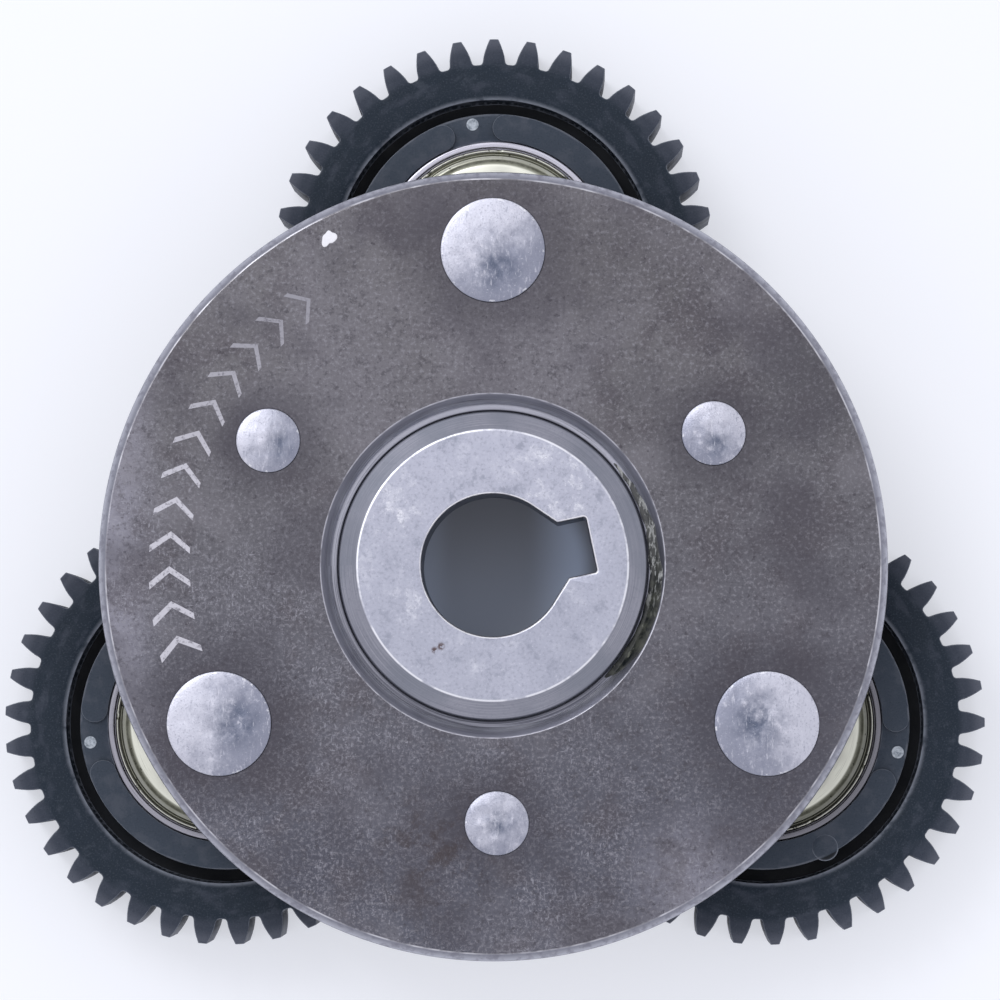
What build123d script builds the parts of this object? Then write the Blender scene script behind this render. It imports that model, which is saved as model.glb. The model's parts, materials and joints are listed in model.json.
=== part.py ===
from build123d import *
import os
from math import acos, asin, cos, pi, radians, sin, sqrt, tan

# Planet carrier of a geared hub motor, with its roller clutch and three planet gears.
# Millimetres and degrees. Z is the main axis and points out of the front plate.
# The origin is where that axis meets the carrier's rear face, at the rear end of the race.

# Gear train
PLANETS = 3
PLANET_ANGLES = [90, 210, 330]
MODULE = 1.25
GEAR_TEETH = 37
SUN_TEETH = 18
PRESSURE_ANGLE = 20
GEAR_WIDTH = 12.0
CENTRE_DISTANCE = MODULE * (GEAR_TEETH + SUN_TEETH) / 2

# Carrier stack, from the rear face up
BACK_THICKNESS = 2.0
CAM_THICKNESS = 5.5
FRONT_THICKNESS = 3.0
BACK_TOP = BACK_THICKNESS
CAM_TOP = BACK_TOP + CAM_THICKNESS
FRONT_TOP = CAM_TOP + FRONT_THICKNESS
PLATE_R = 43.0
CAM_R = 42.4
RIM_CHAMFER_WIDTH = 0.85
RIM_CHAMFER_DEPTH = 0.8
EDGE_BREAK = 0.3

# Front plate's centre hole: countersink, ledge, running gap and the race shoulder's seat
COUNTERSINK_R = 18.75
LEDGE_R = 17.6
HOLE_R = 16.92
SEAT_R = 18.1
SEAT_DEPTH = 1.1

# Roller clutch
ROLLERS = 8
ROLLER_R = 2.0
RACE_R = 12.5
ROLLER_CIRCLE_R = RACE_R + ROLLER_R
ROLLER_GAP = 0.02
ROLLER_END_GAP = 0.1
ROLLER_CHAMFER = 0.2
WEDGE_ANGLE = 7.0
CAM_BORE_R = 14.2
POCKET_NOSE = 2.75
POCKET_HEEL = 2.5
POCKET_OVERCUT = 3.0
SPRING_SLOT_END = 6.2
SPRING_SLOT_R = 1.75
SPRING_COIL_R = 1.1
SPRING_WIRE_R = 0.2
SPRING_TURNS = 4
SPRING_OFFSET = 0.2
SPRING_ROLLER_GAP = 0.1
SPRING_WALL_GAP = 0.05

# Inner race
RACE_PROUD = 1.0
RACE_TOP = FRONT_TOP + RACE_PROUD
RACE_SHOULDER_R = 17.7
RACE_SHOULDER_THICKNESS = 0.9
RACE_FLANGE_R = 16.77
RACE_FACE_R = 14.75
RACE_CONE_HEIGHT = 1.2
RACE_END_GAP = 0.1
BORE_R = 7.75
BORE_CHAMFER = 0.25
BACK_BORE_GAP = 0.06
BACK_BORE_R = RACE_R + BACK_BORE_GAP
KEY_ANGLE = 12
KEY_HALF_WIDTH = 3.05
KEY_BOTTOM = 10.96
KEY_FLARE_ANGLE = 44
KEY_CORNER_R = 0.3

# Planet pins, body rivets, washers and retaining rings
FIT = 0.02
PIN_R = 5.0
PIN_COLLAR_R = 6.0
PIN_HEAD_R = 5.7
HEAD_SEAT_DEPTH = 0.3
HEAD_SEAT_GAP = 0.08
PIN_HEAD_EDGE = 0.2
PIN_HEAD_HEIGHT = 0.55
PIN_END = -11.8
PIN_END_CHAMFER = 0.6
GROOVE_R = 4.7
GROOVE_GAP = 0.05
RIVET_CIRCLE_R = 28.0
RIVET_START_ANGLE = 30.9
RIVET_R = 2.5
RIVET_HEAD_R = 3.5
RIVET_HEAD_EDGE = 0.2
RIVET_HEAD_HEIGHT = 0.5
WASHER_THICKNESS = 0.8
WASHER_BORE_R = 5.05
WASHER_R = 7.4
CLIP_THICKNESS = 1.0
CLIP_INNER_R = 4.75
CLIP_OUTER_R = 6.5
CLIP_GAP_ANGLE = 50
CLIP_LUG_SET_BACK = 8
CLIP_LUG_R = 1.3
CLIP_LUG_CIRCLE_R = 6.7
CLIP_EYE_R = 0.6

# Deep groove ball bearing, 10 x 26 x 8
BEARING_BORE_R = 5.0
BEARING_R = 13.0
BEARING_WIDTH = 8.0
BEARING_CORNER = 0.3
BALLS = 7
BALL_R = 4.7625 / 2
BALL_CIRCLE_R = 9.0
RACEWAY_R = 2.45
OUTER_LAND_R = 11.0
INNER_LAND_R = 7.3
SHIELD_SEAT_R = 12.33
SHIELD_SEAT_DEPTH = 1.3
CAGE_INNER_R = 8.5
CAGE_OUTER_R = 9.5
CAGE_HALF_WIDTH = 2.75
CAGE_POCKET_R = 2.48
SHIELD_NOTCHES = 9
SHIELD_CURL_R = 12.0
NOTCH_WIDTH = 0.45
NOTCH_LENGTH = 0.5
NOTCH_TURN = -11.5
NOTCH_TOP = 0.3
NOTCH_DEPTH = 0.65

# Moulded planet gear
GEAR_TOP = -WASHER_THICKNESS
TIP_R = MODULE * (GEAR_TEETH / 2 + 1)
PITCH_R = MODULE * GEAR_TEETH / 2
ROOT_R = MODULE * (GEAR_TEETH / 2 - 1.25)
BASE_R = PITCH_R * cos(radians(PRESSURE_ANGLE))
ROOT_FILLET = 0.35
TIP_FILLET = 0.12
FLANK_STEPS = 4
TIP_ANGLES = [90.1, 205.8, -28.8]
MARK_ANGLES = [99.3, 187.8, -12.0]
LOBE_ANGLES = [-72.5, 136.0, -63.8]
RIM_INNER_R = 17.6
RIM_BEVEL_WIDTH = 0.7
RIM_BEVEL_DEPTH = 0.15
RIM_BEVEL_OVERCUT = 0.5
HUB_R = 16.1
RING_GROOVE_DEPTH = 4.0
PAD_HEIGHT = 0.5
PAD_GAP_ANGLE = 17
MARK_R = 0.75
MARK_CIRCLE_R = 15.1
MARK_DEPTH = 0.15
LOBE_R = 1.5
LOBE_CIRCLE_R = 15.5
SEAT_GAP = 0.01
GEAR_BORE_R = BEARING_R + SEAT_GAP
LIP_R = 11.9
LIP_GAP = 0.02
LIP_THICKNESS = 1.2
REAR_RECESS_R = 13.2

os.makedirs("parts", exist_ok=True)


def save(part, name):
    """Label a finished piece and write it as its own node."""
    part.label = name
    export_step(part, f"parts/{name}.step")


def planet_centre(index, height=0.0):
    """Point on one planet's axis at a height."""
    angle = radians(PLANET_ANGLES[index])
    return Vector(CENTRE_DISTANCE * cos(angle), CENTRE_DISTANCE * sin(angle), height)


def planet_plane(index, height=0.0, turn=0.0):
    """Level plane on one planet's axis, its X turned from +X."""
    x_dir = (cos(radians(turn)), sin(radians(turn)), 0)
    return Plane(origin=planet_centre(index, height), x_dir=x_dir, z_dir=(0, 0, 1))


def planet_section(index, height=0.0):
    """Upright plane through one planet's axis: X is the radius, Y is the height."""
    return Plane(origin=planet_centre(index, height), x_dir=(1, 0, 0), z_dir=(0, -1, 0))


def planet_axis(index):
    """The vertical axis that one planet turns about."""
    return Axis(planet_centre(index), (0, 0, 1))


def fastener_holes(height, pin_hole_r):
    """Sketch of the pin and rivet holes of one carrier layer, on its lower face."""
    with BuildSketch(Plane.XY.offset(height)) as holes:
        with PolarLocations(CENTRE_DISTANCE, PLANETS, start_angle=PLANET_ANGLES[0]):
            Circle(pin_hole_r)
        with PolarLocations(RIVET_CIRCLE_R, PLANETS, start_angle=RIVET_START_ANGLE):
            Circle(RIVET_R)
    return holes.sketch


def head_seats():
    """Sketch of the shallow spot faces that the pin and rivet heads sit in."""
    with BuildSketch(Plane.XY.offset(FRONT_TOP)) as seats:
        with PolarLocations(CENTRE_DISTANCE, PLANETS, start_angle=PLANET_ANGLES[0]):
            Circle(PIN_HEAD_R + HEAD_SEAT_GAP)
        with PolarLocations(RIVET_CIRCLE_R, PLANETS, start_angle=RIVET_START_ANGLE):
            Circle(RIVET_HEAD_R + HEAD_SEAT_GAP)
    return seats.sketch


# Carrier layers

LEDGE_Z = FRONT_TOP - (COUNTERSINK_R - LEDGE_R)
HEAD_SEAT_Z = FRONT_TOP - HEAD_SEAT_DEPTH

with BuildPart() as front_plate:
    with BuildSketch(Plane.XZ):
        with BuildLine():
            Polyline(
                (SEAT_R, CAM_TOP),
                (PLATE_R - EDGE_BREAK, CAM_TOP),
                (PLATE_R, CAM_TOP + EDGE_BREAK),
                (PLATE_R, FRONT_TOP - RIM_CHAMFER_DEPTH),
                (PLATE_R - RIM_CHAMFER_WIDTH, FRONT_TOP),
                (COUNTERSINK_R, FRONT_TOP),
                (LEDGE_R, LEDGE_Z),
                (HOLE_R, LEDGE_Z),
                (HOLE_R, CAM_TOP + SEAT_DEPTH),
                (SEAT_R, CAM_TOP + SEAT_DEPTH),
                close=True,
            )
        make_face()
    revolve(axis=Axis.Z)
    extrude(fastener_holes(CAM_TOP, PIN_R), amount=FRONT_THICKNESS, mode=Mode.SUBTRACT)
    extrude(head_seats(), amount=-HEAD_SEAT_DEPTH, mode=Mode.SUBTRACT)
save(front_plate.part, "front_plate")

with BuildPart() as back_plate:
    with BuildSketch(Plane.XZ):
        with BuildLine():
            Polyline(
                (BACK_BORE_R, 0),
                (PLATE_R - EDGE_BREAK, 0),
                (PLATE_R, EDGE_BREAK),
                (PLATE_R, BACK_TOP - EDGE_BREAK),
                (PLATE_R - EDGE_BREAK, BACK_TOP),
                (BACK_BORE_R, BACK_TOP),
                close=True,
            )
        make_face()
    revolve(axis=Axis.Z)
    extrude(fastener_holes(0, PIN_R), amount=BACK_THICKNESS, mode=Mode.SUBTRACT)
save(back_plate.part, "back_plate")


def ramp_x(y):
    """Radial place of the wedge ramp beside a roller, seen from the roller's centre."""
    wedge = radians(WEDGE_ANGLE)
    return (ROLLER_R + ROLLER_GAP - y * sin(wedge)) / cos(wedge)


POCKET_INNER_X = CAM_BORE_R - ROLLER_CIRCLE_R - POCKET_OVERCUT

with BuildPart() as cam_ring:
    with BuildSketch(Plane.XY.offset(BACK_TOP)):
        Circle(CAM_R)
        Circle(CAM_BORE_R, mode=Mode.SUBTRACT)
        with PolarLocations(ROLLER_CIRCLE_R, ROLLERS):
            Polygon(
                (POCKET_INNER_X, POCKET_NOSE),
                (POCKET_INNER_X, -SPRING_SLOT_END),
                (SPRING_SLOT_R, -SPRING_SLOT_END),
                (SPRING_SLOT_R, -POCKET_HEEL),
                (ramp_x(-POCKET_HEEL), -POCKET_HEEL),
                (ramp_x(POCKET_NOSE), POCKET_NOSE),
                align=None,
                mode=Mode.SUBTRACT,
            )
    extrude(amount=CAM_THICKNESS)
    extrude(fastener_holes(BACK_TOP, PIN_COLLAR_R), amount=CAM_THICKNESS, mode=Mode.SUBTRACT)
save(cam_ring.part, "cam_ring")

# Inner race: plain journal, trapped shoulder, flange with a cone, keyed bore

SHOULDER_Z = CAM_TOP + RACE_END_GAP
FLARE = radians(KEY_FLARE_ANGLE)
FLARE_X = BORE_R * cos(FLARE)
FLARE_Y = BORE_R * sin(FLARE)
MOUTH_X = (BORE_R - KEY_HALF_WIDTH * sin(FLARE)) / cos(FLARE)

with BuildPart() as inner_race:
    with BuildSketch(Plane.XZ):
        with BuildLine():
            Polyline(
                (BORE_R, 0),
                (RACE_R - EDGE_BREAK, 0),
                (RACE_R, EDGE_BREAK),
                (RACE_R, SHOULDER_Z),
                (RACE_SHOULDER_R, SHOULDER_Z),
                (RACE_SHOULDER_R, SHOULDER_Z + RACE_SHOULDER_THICKNESS),
                (RACE_FLANGE_R, SHOULDER_Z + RACE_SHOULDER_THICKNESS),
                (RACE_FLANGE_R, RACE_TOP - RACE_CONE_HEIGHT),
                (RACE_FACE_R, RACE_TOP),
                (BORE_R + BORE_CHAMFER, RACE_TOP),
                (BORE_R, RACE_TOP - BORE_CHAMFER),
                close=True,
            )
        make_face()
    revolve(axis=Axis.Z)
    with BuildSketch(Plane.XY.rotated((0, 0, KEY_ANGLE))) as keyway:
        Polygon(
            (FLARE_X, FLARE_Y),
            (FLARE_X, -FLARE_Y),
            (MOUTH_X, -KEY_HALF_WIDTH),
            (KEY_BOTTOM, -KEY_HALF_WIDTH),
            (KEY_BOTTOM, KEY_HALF_WIDTH),
            (MOUTH_X, KEY_HALF_WIDTH),
            align=None,
        )
        fillet(keyway.vertices().group_by(Axis.X)[-1], KEY_CORNER_R)
    extrude(amount=RACE_TOP, mode=Mode.SUBTRACT)
save(inner_race.part, "inner_race")

# Rollers and their springs

ROLLER_LENGTH = CAM_THICKNESS - 2 * ROLLER_END_GAP


def roller(index):
    """One clutch roller in its pocket."""
    angle = radians(360 / ROLLERS * index)
    centre = (ROLLER_CIRCLE_R * cos(angle), ROLLER_CIRCLE_R * sin(angle), BACK_TOP + ROLLER_END_GAP)
    with BuildPart() as pin:
        with BuildSketch(Plane(origin=centre)):
            Circle(ROLLER_R)
        extrude(amount=ROLLER_LENGTH)
        chamfer(pin.edges().filter_by(GeomType.CIRCLE), ROLLER_CHAMFER)
    return pin.part


for index in range(ROLLERS):
    save(roller(index), f"roller_{index + 1}")

SPRING_START = ROLLER_R + SPRING_WIRE_R + SPRING_ROLLER_GAP
SPRING_LENGTH = SPRING_SLOT_END - SPRING_START - SPRING_WIRE_R - SPRING_WALL_GAP

with BuildPart() as roller_springs:
    for index in range(ROLLERS):
        angle = radians(360 / ROLLERS * index)
        radial = Vector(cos(angle), sin(angle), 0)
        back = Vector(sin(angle), -cos(angle), 0)
        start = radial * (ROLLER_CIRCLE_R + SPRING_OFFSET) + back * SPRING_START
        start += Vector(0, 0, BACK_TOP + CAM_THICKNESS / 2)
        with BuildLine() as wire:
            coil = Helix(SPRING_LENGTH / SPRING_TURNS, SPRING_LENGTH, SPRING_COIL_R, start, back)
        with BuildSketch(Plane(origin=coil @ 0, z_dir=coil % 0)):
            Circle(SPRING_WIRE_R)
        sweep(path=coil, is_frenet=True)
save(roller_springs.part, "roller_springs")

# Fasteners


def dome_middle(radius, edge, top):
    """Point halfway along a dome's arc, from its edge to its top on the axis."""
    rise = top - edge
    arc_r = (radius**2 + rise**2) / (2 * rise)
    half = asin(radius / abs(arc_r)) / 2
    return (abs(arc_r) * sin(half), top - arc_r * (1 - cos(half)))


def body_rivet(index):
    """One carrier rivet: a shank through the three layers with a low dome at each end."""
    angle = radians(RIVET_START_ANGLE + 360 / PLANETS * index)
    centre = (RIVET_CIRCLE_R * cos(angle), RIVET_CIRCLE_R * sin(angle), 0)
    shank_r = RIVET_R - FIT
    front_edge = FRONT_TOP + RIVET_HEAD_EDGE
    front_tip = FRONT_TOP + RIVET_HEAD_HEIGHT
    with BuildPart() as rivet:
        with BuildSketch(Plane(origin=centre, x_dir=(1, 0, 0), z_dir=(0, -1, 0))):
            with BuildLine():
                Line((0, front_tip), (0, -RIVET_HEAD_HEIGHT))
                ThreePointArc(
                    (0, -RIVET_HEAD_HEIGHT),
                    dome_middle(RIVET_HEAD_R, -RIVET_HEAD_EDGE, -RIVET_HEAD_HEIGHT),
                    (RIVET_HEAD_R, -RIVET_HEAD_EDGE),
                )
                Polyline(
                    (RIVET_HEAD_R, -RIVET_HEAD_EDGE),
                    (RIVET_HEAD_R, 0),
                    (shank_r, 0),
                    (shank_r, HEAD_SEAT_Z),
                    (RIVET_HEAD_R, HEAD_SEAT_Z),
                    (RIVET_HEAD_R, front_edge),
                )
                ThreePointArc(
                    (RIVET_HEAD_R, front_edge),
                    dome_middle(RIVET_HEAD_R, front_edge, front_tip),
                    (0, front_tip),
                )
            make_face()
        revolve(axis=Axis(centre, (0, 0, 1)))
    return rivet.part


CLIP_Z = GEAR_TOP - BEARING_WIDTH - GROOVE_GAP


def planet_pin(index):
    """One planet pin: collar held between the plates, journal behind, peened head in front."""
    shank_r = PIN_R - FIT
    collar_r = PIN_COLLAR_R - FIT
    groove_top = CLIP_Z + GROOVE_GAP / 2
    groove_bottom = CLIP_Z - CLIP_THICKNESS - GROOVE_GAP / 2
    head_edge = FRONT_TOP + PIN_HEAD_EDGE
    head_tip = FRONT_TOP + PIN_HEAD_HEIGHT
    with BuildPart() as pin:
        with BuildSketch(planet_section(index)):
            with BuildLine():
                Polyline(
                    (0, head_tip),
                    (0, PIN_END),
                    (shank_r - PIN_END_CHAMFER, PIN_END),
                    (shank_r, PIN_END + PIN_END_CHAMFER),
                    (shank_r, groove_bottom),
                    (GROOVE_R, groove_bottom),
                    (GROOVE_R, groove_top),
                    (shank_r, groove_top),
                    (shank_r, BACK_TOP + FIT),
                    (collar_r, BACK_TOP + FIT),
                    (collar_r, CAM_TOP - FIT),
                    (shank_r, CAM_TOP - FIT),
                    (shank_r, HEAD_SEAT_Z),
                    (PIN_HEAD_R, HEAD_SEAT_Z),
                    (PIN_HEAD_R, head_edge),
                )
                ThreePointArc(
                    (PIN_HEAD_R, head_edge),
                    dome_middle(PIN_HEAD_R, head_edge, head_tip),
                    (0, head_tip),
                )
            make_face()
        revolve(axis=planet_axis(index))
    return pin.part


def spacer_washer(index):
    """Washer between the carrier's rear face and the bearing's inner ring."""
    with BuildPart() as washer:
        with BuildSketch(planet_plane(index, -WASHER_THICKNESS)):
            Circle(WASHER_R)
            Circle(WASHER_BORE_R, mode=Mode.SUBTRACT)
        extrude(amount=WASHER_THICKNESS)
    return washer.part


def pin_clip(index):
    """Retaining ring in the pin's groove, its gap turned to the main axis, with two eyes."""
    turn = PLANET_ANGLES[index] + 180
    lug_angle = radians(CLIP_GAP_ANGLE / 2 + CLIP_LUG_SET_BACK)
    lug_x = CLIP_LUG_CIRCLE_R * cos(lug_angle)
    lug_y = CLIP_LUG_CIRCLE_R * sin(lug_angle)
    gap_x = 2 * CLIP_OUTER_R
    gap_y = gap_x * tan(radians(CLIP_GAP_ANGLE / 2))
    with BuildPart() as clip:
        with BuildSketch(planet_plane(index, CLIP_Z, turn)):
            Circle(CLIP_OUTER_R)
            with Locations((lug_x, lug_y), (lug_x, -lug_y)):
                Circle(CLIP_LUG_R)
            Polygon((0, 0), (gap_x, -gap_y), (gap_x, gap_y), align=None, mode=Mode.SUBTRACT)
            Circle(CLIP_INNER_R, mode=Mode.SUBTRACT)
            with Locations((lug_x, lug_y), (lug_x, -lug_y)):
                Circle(CLIP_EYE_R, mode=Mode.SUBTRACT)
        extrude(amount=-CLIP_THICKNESS)
    return clip.part


# Ball bearing, each ring turned from its section; heights count down from the front face

HALF_WIDTH = BEARING_WIDTH / 2
OUTER_RACE_DZ = sqrt(RACEWAY_R**2 - (OUTER_LAND_R - BALL_CIRCLE_R) ** 2)
INNER_RACE_DZ = sqrt(RACEWAY_R**2 - (BALL_CIRCLE_R - INNER_LAND_R) ** 2)


def bearing_outer_ring(index):
    """Outer ring with its raceway and a seat for a shield at each face."""
    race_top = (OUTER_LAND_R, -HALF_WIDTH + OUTER_RACE_DZ)
    race_bottom = (OUTER_LAND_R, -HALF_WIDTH - OUTER_RACE_DZ)
    with BuildPart() as ring:
        with BuildSketch(planet_section(index, GEAR_TOP)):
            with BuildLine():
                Polyline(
                    race_top,
                    (OUTER_LAND_R, -SHIELD_SEAT_DEPTH),
                    (SHIELD_SEAT_R, -SHIELD_SEAT_DEPTH),
                    (SHIELD_SEAT_R, 0),
                    (BEARING_R - BEARING_CORNER, 0),
                    (BEARING_R, -BEARING_CORNER),
                    (BEARING_R, BEARING_CORNER - BEARING_WIDTH),
                    (BEARING_R - BEARING_CORNER, -BEARING_WIDTH),
                    (SHIELD_SEAT_R, -BEARING_WIDTH),
                    (SHIELD_SEAT_R, SHIELD_SEAT_DEPTH - BEARING_WIDTH),
                    (OUTER_LAND_R, SHIELD_SEAT_DEPTH - BEARING_WIDTH),
                    race_bottom,
                )
                ThreePointArc(race_bottom, (BALL_CIRCLE_R + RACEWAY_R, -HALF_WIDTH), race_top)
            make_face()
        revolve(axis=planet_axis(index))
    return ring.part


def bearing_inner_ring(index):
    """Inner ring with its raceway and broken bore corners."""
    race_top = (INNER_LAND_R, -HALF_WIDTH + INNER_RACE_DZ)
    race_bottom = (INNER_LAND_R, -HALF_WIDTH - INNER_RACE_DZ)
    with BuildPart() as ring:
        with BuildSketch(planet_section(index, GEAR_TOP)):
            with BuildLine():
                Polyline(
                    race_bottom,
                    (INNER_LAND_R, -BEARING_WIDTH),
                    (BEARING_BORE_R + BEARING_CORNER, -BEARING_WIDTH),
                    (BEARING_BORE_R, BEARING_CORNER - BEARING_WIDTH),
                    (BEARING_BORE_R, -BEARING_CORNER),
                    (BEARING_BORE_R + BEARING_CORNER, 0),
                    (INNER_LAND_R, 0),
                    race_top,
                )
                ThreePointArc(race_top, (BALL_CIRCLE_R - RACEWAY_R, -HALF_WIDTH), race_bottom)
            make_face()
        revolve(axis=planet_axis(index))
    return ring.part


def bearing_balls(index):
    """The ball set, one solid for each ball."""
    with BuildPart(planet_plane(index, GEAR_TOP - HALF_WIDTH)) as balls:
        with PolarLocations(BALL_CIRCLE_R, BALLS):
            Sphere(BALL_R)
    return balls.part


def ball_cage(index):
    """Ring between the bearing rings with a round window for each ball."""
    wall = 2 * (CAGE_OUTER_R - CAGE_INNER_R)
    with BuildPart(planet_plane(index, GEAR_TOP - HALF_WIDTH)) as cage:
        Cylinder(CAGE_OUTER_R, 2 * CAGE_HALF_WIDTH)
        Cylinder(CAGE_INNER_R, 2 * CAGE_HALF_WIDTH, mode=Mode.SUBTRACT)
        with PolarLocations(BALL_CIRCLE_R, BALLS):
            Cylinder(CAGE_POCKET_R, wall, rotation=(0, 90, 0), mode=Mode.SUBTRACT)
    return cage.part


SHIELD_SECTION = [
    (7.55, -0.30),
    (10.70, -0.30),
    (11.20, -0.70),
    (11.50, -0.70),
    (11.55, -1.00),
    (11.85, -1.00),
    (11.90, -0.60),
    (12.10, -0.60),
    (12.15, -1.25),
    (11.10, -1.25),
    (10.60, -0.60),
    (7.55, -0.60),
]


def bearing_shield(index, front):
    """Pressed shield: flat web, stepped rim and a curled edge crimped at nine notches."""
    face = 0 if front else -BEARING_WIDTH
    outward = 1 if front else -1
    section = [(radius, face + outward * depth) for radius, depth in SHIELD_SECTION]
    notch_turn = MARK_ANGLES[index] + NOTCH_TURN
    notch_plane = planet_plane(index, GEAR_TOP + face - outward * NOTCH_TOP, notch_turn)
    with BuildPart() as shield:
        with BuildSketch(planet_section(index, GEAR_TOP)):
            with BuildLine():
                Polyline(*section, close=True)
            make_face()
        revolve(axis=planet_axis(index))
        with BuildSketch(notch_plane):
            with PolarLocations(SHIELD_CURL_R, SHIELD_NOTCHES):
                Rectangle(NOTCH_LENGTH, NOTCH_WIDTH)
        extrude(amount=-outward * NOTCH_DEPTH, mode=Mode.SUBTRACT)
    return shield.part


# Planet gear


def involute(angle):
    """Involute function of a pressure angle in radians."""
    return tan(angle) - angle


def flank_angle(radius):
    """Half the angle that a tooth spans at a radius."""
    at_radius = acos(min(1.0, BASE_R / radius))
    quarter_pitch = pi / (2 * GEAR_TEETH)
    return quarter_pitch + involute(radians(PRESSURE_ANGLE)) - involute(at_radius)


def polar(radius, angle):
    """Point of a sketch at a radius and an angle in radians."""
    return (radius * cos(angle), radius * sin(angle))


def tooth_outline(tooth):
    """Edges of one tooth and of the root behind it, inside an open BuildLine."""
    centre = 2 * pi * tooth / GEAR_TEETH
    next_centre = centre + 2 * pi / GEAR_TEETH
    rise = (TIP_R - ROOT_R) / FLANK_STEPS
    radii = [ROOT_R + rise * step for step in range(FLANK_STEPS + 1)]
    rising = [polar(radius, centre - flank_angle(radius)) for radius in radii]
    falling = [polar(radius, centre + flank_angle(radius)) for radius in reversed(radii)]
    next_root = polar(ROOT_R, next_centre - flank_angle(ROOT_R))
    Spline(*rising)
    ThreePointArc(rising[-1], polar(TIP_R, centre), falling[0])
    Spline(*falling)
    ThreePointArc(falling[-1], polar(ROOT_R, (centre + next_centre) / 2), next_root)


def gear_blank(index):
    """Toothed disc with the bearing seat, its lip and the rear recess turned out of it."""
    face = planet_plane(index, GEAR_TOP, TIP_ANGLES[index])
    lip_top = -BEARING_WIDTH - LIP_GAP
    lip_bottom = lip_top - LIP_THICKNESS
    with BuildPart() as blank:
        with BuildSketch(face) as outline:
            with BuildLine():
                for tooth in range(GEAR_TEETH):
                    tooth_outline(tooth)
            make_face()
            corners = outline.vertices()
            fillet(corners.filter_by(lambda v: Vector(v).length < PITCH_R), ROOT_FILLET)
            corners = outline.vertices()
            fillet(corners.filter_by(lambda v: Vector(v).length > TIP_R - 0.01), TIP_FILLET)
        extrude(amount=-GEAR_WIDTH)
        with BuildSketch(planet_section(index, GEAR_TOP)):
            with BuildLine():
                Polyline(
                    (0, 1),
                    (GEAR_BORE_R, 1),
                    (GEAR_BORE_R, lip_top),
                    (LIP_R, lip_top),
                    (LIP_R, lip_bottom),
                    (REAR_RECESS_R, lip_bottom),
                    (REAR_RECESS_R, -GEAR_WIDTH - 1),
                    (0, -GEAR_WIDTH - 1),
                    close=True,
                )
            make_face()
        revolve(axis=planet_axis(index), mode=Mode.SUBTRACT)
    return blank.part


def planet_gear(index):
    """Moulded gear: on both faces a ring groove, three kidney pads and ejector marks."""
    mark_turn = MARK_ANGLES[index]
    mid_r = (BEARING_R + HUB_R) / 2
    pad_width = HUB_R - BEARING_R
    end_angle = 180 / pi * (pad_width / 2) / mid_r
    pad_sweep = 360 / PLANETS - PAD_GAP_ANGLE - 2 * end_angle
    pad_start = PAD_GAP_ANGLE / 2 + end_angle
    with BuildPart() as gear:
        add(gear_blank(index))
        for height, inward in ((GEAR_TOP, -1), (GEAR_TOP - GEAR_WIDTH, 1)):
            face = planet_plane(index, height, mark_turn)
            floor = planet_plane(index, height + inward * PAD_HEIGHT, mark_turn)
            with BuildSketch(face):
                Circle(RIM_INNER_R)
                Circle(HUB_R, mode=Mode.SUBTRACT)
            extrude(amount=inward * RING_GROOVE_DEPTH, mode=Mode.SUBTRACT)
            with BuildSketch(planet_section(index, height)):
                Polygon(
                    (RIM_INNER_R - RIM_BEVEL_OVERCUT, 0),
                    (RIM_INNER_R + RIM_BEVEL_WIDTH, 0),
                    (RIM_INNER_R, inward * RIM_BEVEL_DEPTH),
                    (RIM_INNER_R - RIM_BEVEL_OVERCUT, inward * RIM_BEVEL_DEPTH),
                    align=None,
                )
            revolve(axis=planet_axis(index), mode=Mode.SUBTRACT)
            with BuildSketch(face):
                Circle(HUB_R)
                Circle(BEARING_R, mode=Mode.SUBTRACT)
                for pad in range(PLANETS):
                    start = pad_start + 360 / PLANETS * pad
                    with BuildLine(mode=Mode.PRIVATE) as pad_line:
                        CenterArc((0, 0), mid_r, start, pad_sweep)
                    SlotArc(pad_line.wire(), pad_width, mode=Mode.SUBTRACT)
            extrude(amount=inward * PAD_HEIGHT, mode=Mode.SUBTRACT)
            with BuildSketch(floor):
                with PolarLocations(MARK_CIRCLE_R, PLANETS):
                    Circle(MARK_R)
            extrude(amount=inward * MARK_DEPTH, mode=Mode.SUBTRACT)
        lobe_plane = planet_plane(index, GEAR_TOP - RING_GROOVE_DEPTH, LOBE_ANGLES[index])
        with BuildSketch(lobe_plane):
            with Locations((LOBE_CIRCLE_R, 0)):
                Circle(LOBE_R)
        extrude(amount=RING_GROOVE_DEPTH - PAD_HEIGHT / 2)
    return gear.part


for index in range(PLANETS):
    number = index + 1
    save(body_rivet(index), f"body_rivet_{number}")
    save(planet_pin(index), f"planet_pin_{number}")
    save(spacer_washer(index), f"spacer_washer_{number}")
    save(pin_clip(index), f"pin_clip_{number}")
    save(bearing_outer_ring(index), f"bearing_outer_ring_{number}")
    save(bearing_inner_ring(index), f"bearing_inner_ring_{number}")
    save(bearing_balls(index), f"bearing_balls_{number}")
    save(ball_cage(index), f"ball_cage_{number}")
    save(bearing_shield(index, front=True), f"front_shield_{number}")
    save(bearing_shield(index, front=False), f"rear_shield_{number}")
    save(planet_gear(index), f"planet_gear_{number}")
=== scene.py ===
import json
from math import acos, cos, degrees, pi, radians, sin, tan

import bmesh
import bpy
import numpy as np
from mathutils import Matrix, Vector


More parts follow.
